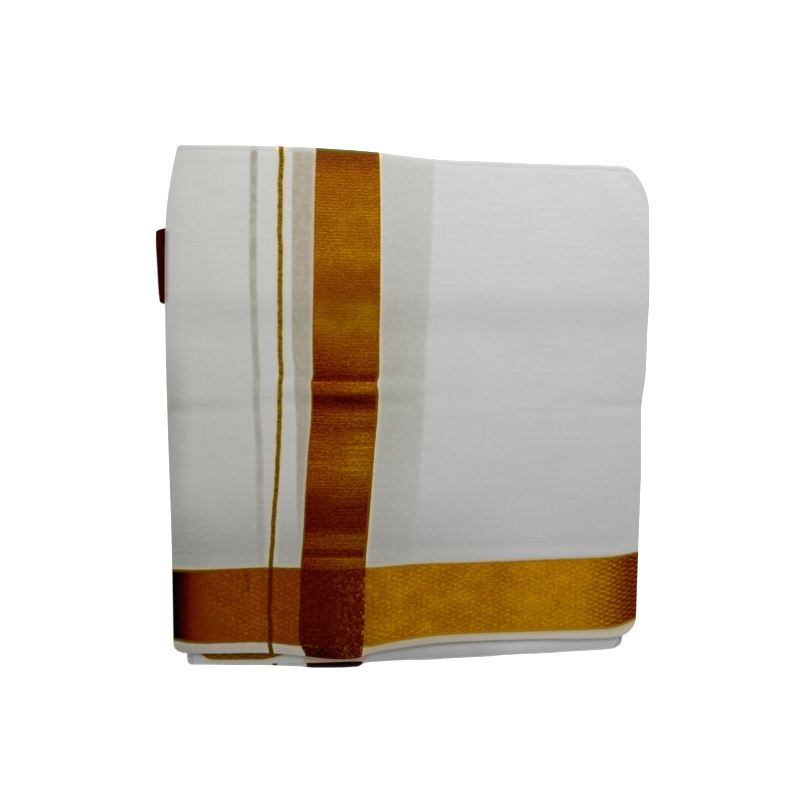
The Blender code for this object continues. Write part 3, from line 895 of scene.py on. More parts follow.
# %% Node trees
class Graph:
    """A node tree."""

    def __init__(self, tree):
        self.tree = tree

    def node(self, kind, settings=None, sockets=None, output=0):
        """Adds a node: its settings first, a ramp's stops among them, then its sockets' values or links."""
        node = self.tree.nodes.new(kind)
        for name, value in (settings or {}).items():
            if name == "stops":
                ramp = node.color_ramp.elements
                while len(ramp) < len(value):
                    ramp.new(1.0)
                for element, (position, colour) in zip(ramp, value):
                    element.position = position
                    element.color = (*colour, 1) if isinstance(colour, tuple) else (colour,) * 3 + (1,)
            else:
                setattr(node, name, value)
        for key, value in (sockets or {}).items():
            if isinstance(value, Socket):
                self.tree.links.new(value.output, node.inputs[key])
            else:
                node.inputs[key].default_value = value
        return Socket(self, node.outputs[output]) if node.outputs else node

    def attribute(self, name):
        return self.node("GeometryNodeInputNamedAttribute", {"data_type": "FLOAT"}, {"Name": name})


def bare(owner):
    """The node tree of a new material or world, with nothing in it."""
    owner.use_nodes = True
    owner.node_tree.nodes.clear()
    return Graph(owner.node_tree)


print("a node tree knows:", ", ".join(name for name in vars(Graph) if name[0] != "_"))

# %% [markdown]
# ## Colours of the cloth
#
# The ground is undyed cotton. The border and bands are woven with zari: a maroon silk core wound with gilt
# wire. Seen along the wire it is bright gold, seen across it the maroon core shows through, so the same
# thread goes from gold to dark maroon as the cloth turns. That sheen is painted into the colour: `share` is
# how much of the gold is seen, from 0 to 1, and it holds painted highlight and painted shade as well as the
# thread's own gold and maroon.

# %% Colours
Stop = namedtuple("Stop", "at colour")
COTTON = (0.605, 0.615, 0.600)
COTTON_LILAC = (0.605, 0.585, 0.610)
COTTON_GREEN = (0.585, 0.612, 0.582)
COTTON_IVORY = (0.600, 0.605, 0.565)
COTTON_BRIGHT = (0.760, 0.755, 0.735)
COTTON_THICK = (0.660, 0.660, 0.640)
COTTON_THIN_AND_SHADE = (0.500, 0.500, 0.490)
CROWN_PAINTED_SHADE = (0.400, 0.405, 0.395)
SHADOW_WARM = (0.370, 0.305, 0.195)
SHADOW_MOSSY = (0.385, 0.350, 0.255)
HOLLOW_SHADE = (0.360, 0.355, 0.318)
SHADOW_COOL = (0.497, 0.508, 0.466)
SHADOW_LINE = (0.315, 0.280, 0.192)
SHADOW_BROWN = (0.380, 0.240, 0.160)
WARM_COTTON = (0.620, 0.560, 0.450)
WARM_SELVEDGE = (0.550, 0.455, 0.340)
SELVEDGE_PAINTED_LIGHT = (0.730, 0.640, 0.510)
CREAM_BORDER = (0.660, 0.470, 0.200)
CREAM_BAND = (0.780, 0.570, 0.240)
CREAM_DULL = (0.600, 0.420, 0.180)
CREAM_LINE = (0.750, 0.530, 0.210)
CREAM_SELVEDGE = (0.640, 0.430, 0.290)
LINE_GOLD = (0.195, 0.112, 0.002)
LINE_LIGHT = (0.330, 0.205, 0.006)
LINE_DARK = (0.040, 0.024, 0.001)
OLIVE = (0.200, 0.095, 0.002)
OLIVE_LIT = (0.450, 0.280, 0.012)
OLIVE_CROWN_SHADE = (0.125, 0.088, 0.0005)
YELLOW_COTTON = (0.640, 0.490, 0.160)
OLD_MAROON = (0.112, 0.006, 0.001)
SPARK = (0.340, 0.058, 0.005)
SPARK_BRIGHT = (0.520, 0.150, 0.022)
ZARI_BY_SHARE = rows_of(Stop, [
    (0.00, (0.004, 0.0002, 0.0001)), (0.06, (0.070, 0.0004, 0.0002)), (0.14, (0.115, 0.0026, 0.0003)),
    (0.30, (0.185, 0.0175, 0.0004)), (0.50, (0.275, 0.0540, 0.0006)), (0.75, (0.430, 0.1480, 0.0008)),
    (1.00, (0.700, 0.2950, 0.0010)),
])
GLINT = (0.800, 0.360, 0.003)

for name, colour in (("cotton", COTTON), ("bright zari", ZARI_BY_SHARE[-1].colour)):
    print(name, "reflects", round(sum(colour) / 3, 2))

# %% [markdown]
# ## The tone and painted sheen of the gold along the border and the bands
#
# These tables say how much gold is seen along each stretch: along the border by `u`, and along the wide
# band by `v`. Much of it is painted sheen: the bright and dark stripes where creases and the fold mark catch
# or lose the light, and the darker gold on the left of the border and towards its folds, are painted into
# them as painted highlight and painted shade. The band has two tables, one for the part in front of the fold
# mark across its middle and one for the part behind. A color ramp reads each table. It holds at most 32
# stops, so each table stays shorter than that.

# %% Tone tables, in millimetres of cloth
Tone = namedtuple("Tone", "at share")
BORDER_TONE_AND_SHEEN = rows_of(Tone, [
    (-60, 0.052), (-6, 0.052), (0, 0.03), (9, 0.00), (14, 0.025), (17, 0.07), (19, 0.13), (21, 0.29),
    (26, 0.41), (33, 0.52), (50, 0.54), (63, 0.60), (70, 0.54), (90, 0.50), (136, 0.74), (153, 0.87),
    (168, 0.84), (177, 0.90), (190, 0.83), (201, 0.87), (226, 0.87), (236, 0.92), (262, 0.97),
    (284, 0.91), (298, 0.78), (303, 0.65), (307, 0.58), (312, 0.38), (318, 0.31), (324, 0.23),
    (420, 0.85),
])
FRONT_BAND_TONE_AND_SHEEN = rows_of(Tone, [
    (55, 0.28), (59, 0.36), (60.3, 0.47), (61.8, 0.20), (62.8, 0.12), (66, 0.17), (67.5, 0.33),
    (74.5, 0.41), (78, 0.20), (82, 0.125), (90, 0.145), (98, 0.22), (104, 0.335), (110, 0.45),
    (121, 0.59), (126, 0.52), (133, 0.535), (138, 0.49), (141, 0.44), (145, 0.315), (151, 0.40),
    (155, 0.37), (159, 0.17), (162, 0.13), (166.5, 0.12), (168, 0.31), (171, 0.48), (175.4, 0.42),
    (176.6, 0.12), (179, 0.14), (183, 0.30), (188, 0.37),
])
BACK_BAND_TONE_AND_SHEEN = rows_of(Tone, [
    (188, 0.37), (198, 0.41), (204, 0.46), (209, 0.58), (213.5, 0.63), (219, 0.54), (224, 0.575),
    (229, 0.47), (234, 0.39), (240, 0.43), (245, 0.455), (250, 0.51), (256, 0.60), (262, 0.56),
    (270, 0.54), (276, 0.51), (282, 0.53), (296, 0.48), (308, 0.465), (313, 0.37), (317, 0.29),
    (320, 0.25), (323, 0.15), (430, 0.15), (540, 0.02), (600, 0.01),
])
# How far the gold leans to green towards the back fold, as painted sheen, as a share of GREENEST.
GREENEST = 2.4
BACK_BAND_OCHRE_SHEEN = rows_of(Tone, [
    (188, 0.00), (200, 0.10), (262, 0.12), (280, 0.19), (312, 0.21), (316, 0.45), (320, 0.65),
    (325, 0.75), (430, 0.40),
])

for name, table in (("border", BORDER_TONE_AND_SHEEN), ("front band", FRONT_BAND_TONE_AND_SHEEN), ("back band", BACK_BAND_TONE_AND_SHEEN)):
    print(name, "has", len(table), "stops, most gold at", max(table, key=lambda row: row.share).at, "mm")

# %% [markdown]
# ## Helpers for the weave
#
# The finish is one material for all pieces, so that a stripe goes on unbroken from one to the next. It
# needs a few helpers: grain, which is unevenness of a given size, soft steps a thread wide, and paint that
# lies on other paint wherever a mask says so. A mask is a number between 0 and 1 at each point of the
# cloth.

# %% Helpers for the weave
finish = bpy.data.materials.new("zari_bordered_cotton")
shade = bare(finish)
pattern = shade.node("ShaderNodeUVMap", {"uv_map": "weave"})
raw_u = shade.node("ShaderNodeSeparateXYZ", sockets={0: pattern}) / MM
raw_v = shade.node("ShaderNodeSeparateXYZ", sockets={0: pattern}, output=1) / MM


def grain(across, along, seed, detail=1.0):
    """Unevenness from 0 to 1, whose grains measure about across by along millimetres in u and v."""
    spot = shade.node("ShaderNodeCombineXYZ", sockets={0: raw_u / across, 1: raw_v / along, 2: float(seed)})
    return shade.node("ShaderNodeTexNoise", sockets={"Vector": spot, "Scale": 1.0, "Detail": detail})


def swing(*sizes):
    """The same unevenness, from -0.5 to 0.5."""
    return grain(*sizes) - 0.5


def step(value, at, soft=0.3):
    """0 below `at`, 1 above it, and soft over a thread's width."""
    return shade.node("ShaderNodeMapRange", {"interpolation_type": "SMOOTHSTEP"}, {
        "Value": value, "From Min": at - soft, "From Max": at + soft})


def until(value, at, soft=0.3):
    return 1.0 - step(value, at, soft)


def strip(value, low, high, soft=0.3):
    return step(value, low, soft) - step(value, high, soft)


def paint(under, over, mask):
    """Colour `over` laid on `under` where the mask is 1."""
    mixer = shade.tree.nodes.new("ShaderNodeMix")
    mixer.data_type = "RGBA"
    for socket, value in ((mixer.inputs[6], under), (mixer.inputs[7], over), (mixer.inputs[0], mask)):
        if isinstance(value, Socket):
            shade.tree.links.new(value.output, socket)
        else:
            socket.default_value = (*value, 1) if isinstance(value, tuple) else value
    return Socket(shade, mixer.outputs[2])


def coats(ground, layers):
    """The ground with each (colour, mask) painted on it in turn."""
    for colour, mask in layers:
        ground = paint(ground, colour, mask)
    return ground


def along_table(value, table):
    """A number that follows a table of (at, share), read with a color ramp."""
    start, end = table[0][0], table[-1][0]
    stops = [((row[0] - start) / (end - start), row[1]) for row in table]
    return shade.node("ShaderNodeValToRGB", {"stops": stops}, {"Fac": (value - start) / (end - start)})


print("the finish starts with", len(shade.tree.nodes), "nodes")

# %% [markdown]
# ## Where each stripe lies
#
# The material asks at each point of the cloth: is this border, band, cross line or plain cotton? Each
# answer is a mask made from `u` and `v`. Both are shaken a little first, because no thread runs quite
# straight.

# %% Masks
LOWER_FROM = 400.0      # from this u on it is a lower cloth
FAR_SIDE = 560.0        # from this v on it is the underside

u = raw_u + swing(2.4, 3.0, 1) * 0.55
v = raw_v + swing(3.0, 2.4, 2) * 0.55
ragged = swing(1.5, 1.1, 37) * 2.2
below_top = until(v, BORDER_TOP, 0.45)
in_band = strip(u + ragged * below_top, BAND_FROM, BAND_TO)
outside_band = 1.0 - in_band
in_border = step(v, SELVEDGE, 0.5) * below_top * outside_band
crossing = until(v + ragged, BORDER_TOP - 0.8, 0.8)
past_crossing = 1.0 - crossing
in_whole_band = in_band * step(v, -0.7, 0.6)
line_drift = step(v, 262.0, 15.0) * 0.55 + strip(v, 20.0, 148.0, 12.0) * 0.4 + until(v, SELVEDGE, 3.0) * 1.1
from_line = abs(u + swing(80.0, 11.0, 3) * 1.5 + line_drift - LINE_AT)
in_line = until(from_line, LINE_HALF, 0.6)
outside_border = 1.0 - below_top * step(v, SELVEDGE, 0.7).largest(in_band)
on_lower = step(u, LOWER_FROM)
far_side = step(v, FAR_SIDE, 5.0)
print("masks for border, band, line and crossing:", len(shade.tree.nodes), "nodes so far")

# %% [markdown]
# ## Plain cotton
#
# Handloomed cotton is never one white. The threads vary in thickness, which shows as faint streaks along
# and across, and where they lie looser the white is duller. Broad patches lean to lilac, green or ivory.

# %% Cotton ground
cotton = coats(COTTON, [
    (COTTON_LILAC, strip(grain(34.0, 30.0, 13, 2.0), 0.52, 0.9, 0.1) * 0.9),
    (COTTON_GREEN, step(grain(7.0, 16.0, 14, 2.0), 0.55, 0.10) * 0.7),
    (COTTON_IVORY, until(u, 135.0, 65.0) * 0.8),
    (COTTON_BRIGHT, step(u, 610.0, 35.0) * until(v, 100.0) * 0.75),
])
print("the ground takes", len(shade.tree.nodes), "nodes so far")

# %% [markdown]
# ## What shows through
#
# The cotton is thin. Where a band of the ply below lies under it, a soft shadow shows through, with an edge
# that wanders because that ply does not lie quite straight. At a few distances `v` the table says how far
# the shadows at the left and right reach out from the band, and where a narrow one lies, in millimetres. A
# ramp only holds values from 0 to 1, so they are a hundredth of that in it.

# %% Show-through
Shadow = namedtuple("Shadow", "v left right line")
SHOW_THROUGH = rows_of(Shadow, [
    (56, 1.8, 29.0, 65.4), (101, 6.4, 31.4, 61.2), (161, 11.0, 30.0, 56.8),
    (196, 13.6, 30.4, 55.8), (250, 14.2, 32.6, 54.5), (322, 14.9, 35.6, 53.9),
])


def shadow_edge(column):
    return along_table(v, [(row.v, getattr(row, column) / 100.0) for row in SHOW_THROUGH]) * 100.0


on_panel = strip(v, BORDER_TOP, 336.0, 3.0)
fading = step(v, 210.0, 110.0) * 0.6 + 0.4
left_strip = strip(u - BAND_FROM + shadow_edge("left"), 0.0, 40.0, 1.2) * until(u, BAND_FROM)
right_strip = step(u, BAND_TO) * until(u - BAND_TO - shadow_edge("right"), 0.0, 1.6)
right_strip = right_strip * (step(v, 112.0, 40.0) * 0.6 + 0.4)
line_strip = until(abs(u - shadow_edge("line")), 2.2, 1.3)
mottle = step(grain(6.0, 12.0, 15), 0.5, 0.12)
cotton = coats(cotton, [
    (paint(SHADOW_WARM, SHADOW_MOSSY, mottle * 0.7), left_strip * on_panel * 0.95),
    (SHADOW_COOL, right_strip * on_panel * (0.97 - mottle * 0.08)),
    (SHADOW_LINE, line_strip * on_panel * (fading * 0.5 + 0.5) * (0.7 + mottle * 0.25)),
])
print("three shadows show through, each with", len(SHOW_THROUGH), "points")

# %% [markdown]
# ## Painted shade, selvedge and threads on the cotton
#
# The stiff stripes hold the thin cotton up, so it hangs a little hollow beside them. The shade in those
# hollows, near the left edge, along the right fold and under the top leaf's front edge is painted into the
# colour as painted shade. The selvedge is warmer, painted darker at its left end and lighter at the right as
# painted shade and light, and thick and thin threads make the streaks.

# %% Painted shade, selvedge and threads
# painted shade in the hollow above the border, strongest at the left
hollow = until(v, 91.0, 28.0) * step(v, BORDER_TOP - 6.0)
along_border = 0.80 - step(u, 110.0, 20.0) * 0.26 - step(u, 205.0, 50.0) * 0.46 + until(u, 24.0, 14.0) * 0.30
# painted shade in the hollow beside the band's right edge
shade_beside_band = strip(u, BAND_TO, BAND_TO + 16.0, 8.0) * 0.26 + strip(u, BAND_TO, BAND_TO + 28.0, 4.0) * 0.14
shade_beside_band = shade_beside_band * until(v, 228.0, 40.0)
shade_beside_band = shade_beside_band + strip(u, BAND_TO, BAND_TO + 30.0, 6.0) * strip(v, 132.0, 285.0, 30.0) * 0.12
# painted shade near the left edge and along the fold mark there
left_shade = until(u, 10.0, 9.0) * strip(v, 88.0, 190.0, 26.0) * 0.55
left_shade = left_shade + until(u, 84.0, 8.0) * strip(v, 90.0, 186.0, 30.0) * 0.10
left_shade = left_shade + until(u, 42.0, 34.0) * strip(v, 155.5, 163.5, 3.5) * 0.24
# painted shade on the lower cloth under the top leaf's front edge
shade_under_lip = strip(u, 572.0, 660.0, 16.0) * until(v, 20.0)
on_selvedge = until(v, SELVEDGE) * step(v, -3.0, 1.5) * (1.0 - on_lower)
by_loop = strip(v, 226.0, 270.0, 2.5) * strip(u, -6.0, 1.3, 1.2)
streaks = grain(26.0, 0.8, 11) * 0.65 + grain(0.8, 26.0, 12) * 0.35
clouds = grain(3.8, 3.2, 16)
cotton = coats(cotton, [
    (HOLLOW_SHADE, (hollow * along_border).least(1.0)),
    (SHADOW_MOSSY, shade_beside_band),
    (HOLLOW_SHADE, left_shade + shade_under_lip * 0.38),
    # painted shade along the right fold
    (COTTON_THIN_AND_SHADE, strip(u, 322.0, 420.0, 7.0) * step(v, 205.0, 35.0) * 0.7),
    (SHADOW_BROWN, by_loop * 0.9),
    # the warm selvedge, painted lighter at the right as painted light
    (paint(WARM_SELVEDGE, SELVEDGE_PAINTED_LIGHT, step(u, 205.0, 45.0)), on_selvedge * 0.85),
    # painted shade at the selvedge's left end
    (HOLLOW_SHADE, until(u, 27.0, 12.0) * on_selvedge * 0.55),
    (COTTON_THICK, step(streaks, 0.55, 0.12) * 0.16 + step(clouds, 0.60, 0.20) * 0.18),
    (COTTON_THIN_AND_SHADE, step(0.0 - streaks, -0.46, 0.12) * 0.14 + step(0.0 - clouds, -0.40, 0.20) * 0.10),
    (COTTON_THIN_AND_SHADE, step(grain(70.0, 1.7, 17), 0.56, 0.08) * 0.13),
])
print("the cotton takes", len(shade.tree.nodes), "nodes so far")

# %% [markdown]
# ## The crown of the back fold
#
# At the back the whole stack is bent round in one go. There the thin cloth is stretched over the crown of
# the fold, which faces the lamp, and the crown is painted greyer than the panel as painted shade. It starts
# where the top leaf begins to turn down, which lies at a different `v` for each `u`.

# %% Crown of the back fold
def crown_point(x):
    return chart_u(TOP_WEFTS, x, turn_start(x)), chart_v(x, turn_start(x)) * MM


crown_starts = [crown_point(x) for x in spread(-150.0, 150.0, 25.0)]
past_crown = v - along_table(u, crown_starts) / MM
# painted shade on the crown of the back fold
shaded_crown = strip(past_crown, 1.2, 10.0, 1.4) * step(past_crown, -20.0, 1.0)
cotton = paint(cotton, CROWN_PAINTED_SHADE, shaded_crown * 0.8)
print("the crown starts at v =", [round(at_v / MM) for _, at_v in crown_starts])

# %% [markdown]
# ## Zari threads
#
# Inside the gold, rows of small floats catch the light, and where most of them catch it is painted into the
# colour as painted highlight. `ribs` are the rows in the bands. `scales` are the diamonds that stand in a
# lattice in the border, and `ridges` are the lines between them, which show towards the right fold.
# `dashes`, `specks` and `glitter` are single floats of different sizes.

# %% Gold floats
RIB_PITCH = 2.0
SCALE_WIDE, SCALE_HIGH = 8.0, 3.34
GLITTER_MEAN = 0.12


def rows_along(pitch):
    """Even rows across the cloth, from 0 between them to 1 on them."""
    return (raw_v * (2 * math.pi / pitch)).sine() * 0.5 + 0.5


def dots(across, along, seed, size):
    """Scattered dots of uneven strength, one in each cell of about across by along millimetres."""
    bent_u = raw_u + swing(2.2, 1.8, seed + 1) * across * 2.2
    bent_v = raw_v + swing(1.8, 2.2, seed + 2) * along * 2.2
    spot = shade.node("ShaderNodeCombineXYZ", sockets={0: bent_u / across, 1: bent_v / along, 2: float(seed)})
    reach = shade.node("ShaderNodeTexVoronoi", sockets={"Vector": spot, "Scale": 1.0})
    strength = shade.node("ShaderNodeTexVoronoi", sockets={"Vector": spot, "Scale": 1.0}, output=1)
    strength = shade.node("ShaderNodeSeparateXYZ", sockets={0: strength})
    return until(reach, size, size * 0.6) * step(strength, 0.62, 0.36)


near_fold = step(u, 292.0, 9.0)
ripple = swing(16.0, 12.0, 27) * near_fold * 0.9
ribs = rows_along(RIB_PITCH)
dashes = step(grain(4.2, 0.85, 21, 0.0), 0.50, 0.14)
specks = step(grain(2.3, 0.95, 22, 0.0), 0.57, 0.10)
fine = swing(1.7, 1.3, 28, 0.0)
rising = (raw_u / SCALE_WIDE + raw_v / SCALE_HIGH + ripple).fraction() - 0.5
falling = (raw_u / SCALE_WIDE - raw_v / SCALE_HIGH + ripple).fraction() - 0.5
from_scale = abs(rising) + abs(falling)
scales = until(from_scale, 0.30, 0.14) * step(grain(5.0, 2.5, 29), 0.42, 0.12)
scales = scales * step(u, 40.0, 24.0) * step(v, 9.0, 1.5)
ridges = until(from_scale + swing(3.0, 1.2, 38) * 0.5, 0.46, 0.26)
glitter = dots(1.7, 1.3, 42, 0.42)
glimmer = glitter - GLITTER_MEAN
print("scales of", SCALE_WIDE, "by", SCALE_HIGH, "mm and ribs", RIB_PITCH, "mm apart")

# %% [markdown]
# ## How much gold is seen
#
# The tables give the tone along each stripe. Blotches, floats and single threads then shift it up and down,
# more where there is more gold to see. A `share` is worked out for the border, for the band and for the
# dark square where the two cross, and the masks put the three together.

# %% Share of gold
blotches = swing(17.0, 12.0, 23, 2.0)
front_part = until(v, 196.0, 12.0)
right_half = step(u, 118.0, 9.0)
border_share = along_table(u, BORDER_TONE_AND_SHEEN) * (0.925 + blotches * 0.35)
border_share = border_share + (scales - 0.15) * 0.10 + fine * border_share.least(0.5) * 0.46
border_share = border_share + (ridges - 0.5) * near_fold * 0.21 + glimmer * step(u, 30.0, 20.0) * 0.16
border_share = border_share + glimmer * until(u, -4.0, 3.0) * 0.06

front = along_table(v, FRONT_BAND_TONE_AND_SHEEN)
band_share = front + (along_table(v, BACK_BAND_TONE_AND_SHEEN) - front) * step(v, FOLD_MARK, 2.0)
# painted shade: a dark line along a crease across the band's right half
crease_shade_line = strip(v, 161.8, 165.6, 1.4) * step(u, 106.0, 7.0) * until(u, 127.0, 7.0)
towards_right = (step(u, 113.0, 16.0) - 0.5) * 0.15 - until(u, BAND_FROM + 3.5, 3.5) * 0.10
band_share = band_share * (1.0 + blotches * 0.5 + towards_right * front_part) - crease_shade_line * 0.075
texture = (ribs - 0.5) * 0.04 + fine * (front_part * 0.26 + 0.22)
texture = texture + swing(36.0, 0.75, 30, 0.0) * (front_part * 0.40 + 0.04) + glimmer * 0.06
band_share = band_share + texture * band_share.least(0.3) / 0.3

crossing_share = 0.066 + right_half * 0.030 + step(v, 20.0, 10.0) * 0.025 + swing(3.0, 3.0, 25) * 0.09
crossing_share = crossing_share + fine * 0.12 + glimmer * 0.06 - until(v, SELVEDGE - 0.6, 0.6) * 0.035
whole_band_share = band_share + (crossing_share - band_share) * crossing
share = (border_share * in_border + whole_band_share * in_band).least(1.0).largest(0.0)
gold = shade.node("ShaderNodeValToRGB", {"stops": ZARI_BY_SHARE}, {"Fac": share})
print("the share of gold takes", len(shade.tree.nodes), "nodes so far")

# %% [markdown]
# ## Glints, sparks and hue
#
# `glints` are painted highlights on the few floats that happen to face the light. In the dark crossing they
# are painted `sparks` of red and orange. The hue then leans to green towards the back fold and to red towards
# the left, as painted sheen and shade of the gold, and it wanders a little at random. The lower cloths' gold
# is painted darker, as painted shade where they lie in the shade of the upper ones.

# %% Glints and hue
clear = step(grain(26.0, 14.0, 26), 0.46, 0.10) * 0.5 + 0.3
glints = (specks * 0.20 + scales * clear * 0.9 + glitter * 0.5) * in_border * share * 0.35
glints = glints * (step(u, 118.0, 14.0) * 0.5 + 0.5)
band_glints = (glitter * 0.3 + specks * 0.3) * in_band * past_crossing * share
glints = glints + band_glints * (front_part * 0.16 + 0.22)
edge_sparks = step(u, BAND_TO - 1.6, 1.2) * 0.55 + strip(v, SELVEDGE - 0.8, SELVEDGE + 0.8) * 0.45
sparks = dots(2.0, 1.2, 24, 0.46) * (0.10 + right_half * 0.38 + edge_sparks)
sparks = sparks + dots(1.1, 1.0, 50, 0.5) * (0.06 + right_half * 0.12)
bright = step(grain(3.0, 3.0, 53), 0.56, 0.08).largest(step(u, BAND_TO - 2.0, 1.0))
# painted highlight: glints on the gold, and painted sparks in the crossing
gold = coats(gold, [
    (GLINT, glints),
    (paint(SPARK, SPARK_BRIGHT, bright), sparks.least(0.9) * in_band * crossing),
])
# painted sheen: the gold leans green towards the back fold
ochre = along_table(v, BACK_BAND_OCHRE_SHEEN) * in_band * step(v, FOLD_MARK) * GREENEST
# painted shade: the border leans red at the left
ochre = ochre - until(u, BAND_MIDDLE, 20.0) * in_border * 0.22
ochre = ochre + (step(u, 112.0, 16.0) - 0.45) * in_band * past_crossing * (front_part * 0.32 + 0.08)
ochre = ochre + swing(11.0, 9.0, 54, 2.0) * in_border * 0.45
# painted shade on the gold of the lower cloths
light = 1.0 - on_lower * until(v, 200.0) * 0.56
hue = shade.node("ShaderNodeCombineXYZ", sockets={0: light, 1: (ochre + 1.0) * light, 2: 1.0})
gold = shade.node("ShaderNodeVectorMath", {"operation": "MULTIPLY"}, {0: gold, 1: hue})
# painted shade: the gold band goes dark olive over the crown of the back fold
gold = paint(gold, OLIVE_CROWN_SHADE, step(v, 322.8, 1.8) * until(v, 336.0, 4.0) * in_band * 0.90)
print("the gold takes", len(shade.tree.nodes), "nodes so far")

# %% [markdown]
# ## Edge threads
#
# Each gold stripe is set off by a cream thread outside it, and the cotton next to that thread is a little
# warmer. Along its edges the gold itself closes with olive threads, painted brighter at the right than at the
# left as painted light and shade, like the border. Cream threads stop where stripes cross.

# %% Edge threads
def past(distance, reach):
    """1 at an edge, fading to 0 this far outside it."""
    return until(distance, reach / 2, reach / 2) * step(distance, -0.3, 0.3)


warm = (past(v - BORDER_TOP, 4.2) + past(SELVEDGE - v, 3.4)) * outside_band
warm_beside = past(BAND_FROM - u, 3.4) + past(u - BAND_TO, 3.0) + past(from_line - LINE_HALF, 5.0)
warm = warm + warm_beside * outside_border
broken = (0.45 + grain(2.0, 2.0, 35) * 0.9).least(1.0)
above = strip(v, BORDER_TOP, BORDER_TOP + 1.5, 0.45) * outside_band * (1.0 - step(u, 306.0, 10.0) * 0.8)
below = strip(v, SELVEDGE - 1.9, SELVEDGE, 1.4) * outside_band * step(u, 0.0)
on_leaf = 1.0 - far_side
left_of_band = strip(u, BAND_FROM - 1.0, BAND_FROM) * outside_border * on_leaf
right_of_band = strip(u, BAND_TO, BAND_TO + 1.2) * outside_border * on_leaf
beside_line = strip(from_line, LINE_HALF, LINE_HALF + 1.0) * outside_border
selvedge_end = in_band.largest(strip(u, 531.0, 573.0, 2.5)) * until(v, SELVEDGE, 0.6) * step(v, -20.0)
in_gold = (in_border + in_whole_band).least(1.0)

on_top = step(u, 0.0) - on_lower
# the olive threads are painted lighter at the right, as painted light
olive_lit_side = step(u, BAND_MIDDLE, 20.0)
front_threads = strip(v, SELVEDGE - 0.3, SELVEDGE + 1.5, 0.6) * outside_band * on_top
top_threads = strip(v, BORDER_TOP - 1.5, BORDER_TOP + 0.2, 0.4) * outside_band * on_top
band_sides = strip(u, BAND_TO - 1.7, BAND_TO, 0.5) * 0.60 + strip(u, BAND_FROM, BAND_FROM + 1.1, 0.4) * 0.55
colour = coats(cotton, [
    (WARM_COTTON, warm.least(1.0) * 0.6),
    (CREAM_BORDER, above * broken),
    (YELLOW_COTTON, below * (step(u, 118.0, 12.0) * 0.55 + 0.30) * (1.0 - on_lower * 0.3)),
    (CREAM_DULL, left_of_band * broken * 0.9),
    (CREAM_BAND, right_of_band * broken),
    (CREAM_LINE, beside_line * broken),
    (CREAM_SELVEDGE, selvedge_end),
    (gold, in_gold),
    (paint(OLIVE, OLIVE_LIT, olive_lit_side), front_threads * 0.70),
    (OLIVE, band_sides * outside_border * (front_part * 0.5 + 0.5) * on_leaf),
    (paint(OLIVE, OLIVE_LIT, olive_lit_side * 0.6), top_threads * 0.6),
])
print("with its edge threads the weave takes", len(shade.tree.nodes), "nodes so far")

# %% [markdown]
# ## The narrow line, and all of it together
#
# The narrow line is beaded: light and dark gold follow each other along it. Where it crosses the border it
# turns maroon. At last the colour, the roughness, the metal and a small bump go to the shader.

# %% Line and shader
BEAD_PITCH = 1.9

bead = grain(9.0, 3.2, 33) * 0.7 + grain(3.0, 0.9, 34) * 0.6
dotted = rows_along(BEAD_PITCH)
line_gold = coats(LINE_GOLD, [
    (LINE_LIGHT, step(bead, 0.68, 0.10) * 0.7),
    (LINE_DARK, step(0.0 - bead, -0.56, 0.16) * 0.55),
    (LINE_DARK, until(v, 130.0, 75.0) * 0.45),
    (LINE_DARK, dotted * 0.38),
    (LINE_DARK, ((dotted * 0.5 + 0.5) * until(v, SELVEDGE)).largest(far_side)),
])
line_in_border = until(from_line + ragged, LINE_HALF, 0.5) * in_border
flaw = strip(u + (v - 46.0) * 0.12, 55.4, 57.4, 0.6) * strip(v, 39.0, 53.0, 1.5) * (0.4 + specks * 0.6)
colour = coats(colour, [
    (line_gold, in_line * outside_border),
    (OLD_MAROON, (line_in_border * (0.86 + dashes * 0.12)).largest(flaw * 0.9)),
])

in_gold = in_gold.largest(in_line)
threads = grain(14.0, 0.42, 31, 0.0) + grain(0.42, 14.0, 32, 0.0)
relief = threads * 0.06 * (1.0 - in_gold) + (ribs * 0.3 + specks * 0.4) * in_band
relief = relief + (scales * 0.4 + specks * 0.4) * in_border + in_gold * 0.5
bump = shade.node("ShaderNodeBump", sockets={"Height": relief, "Strength": 0.6, "Distance": 0.00022})
gloss = shade.node("ShaderNodeBsdfPrincipled", sockets={
    "Base Color": colour, "Roughness": 0.88 - in_gold * (0.42 + specks * 0.08),
    "Metallic": in_gold * share.least(0.5) * 0.7, "Normal": bump, "Specular IOR Level": 0.02})
shade.node("ShaderNodeOutputMaterial", sockets={"Surface": gloss})
for piece in (top, under, second, *selvedges):
    piece.data.materials.append(finish)
print("the whole weave takes", len(shade.tree.nodes), "nodes")

# %% [markdown]
# ## The profile of a folded edge
#
# Seen end on, a folded edge is a C: a small round nose and two long legs that run back into the packet.
# Nine points are enough, seven of them round the nose. Each one's place is worked out from its number along
# the profile.

# %% Profile of a folded edge
PROFILE_POINTS = 9


def fold_profile(graph, size):
    """The C-shaped profile curve."""
    chain = graph.node("GeometryNodeMeshLine", sockets={"Count": PROFILE_POINTS})
    middle = (PROFILE_POINTS - 1) / 2
    at = (graph.node("GeometryNodeInputIndex") - middle) / middle
    angle = (at * (4 / 3)).largest(-1.0).least(1.0) * (math.pi / 2)
    reach = (abs(at) - 0.75).largest(0.0) * 4.0
    across = (size["Leg"] * reach - size["Nose"] * angle.cosine()) * size["Inwards"]
    place = graph.node("ShaderNodeCombineXYZ", sockets={0: across, 1: size["Nose"] * angle.sine()})
    profile = graph.node("GeometryNodeSetPosition", sockets={"Geometry": chain, "Position": place})
    return graph.node("GeometryNodeMeshToCurve", sockets={0: profile})


print("the profile has", PROFILE_POINTS, "points")

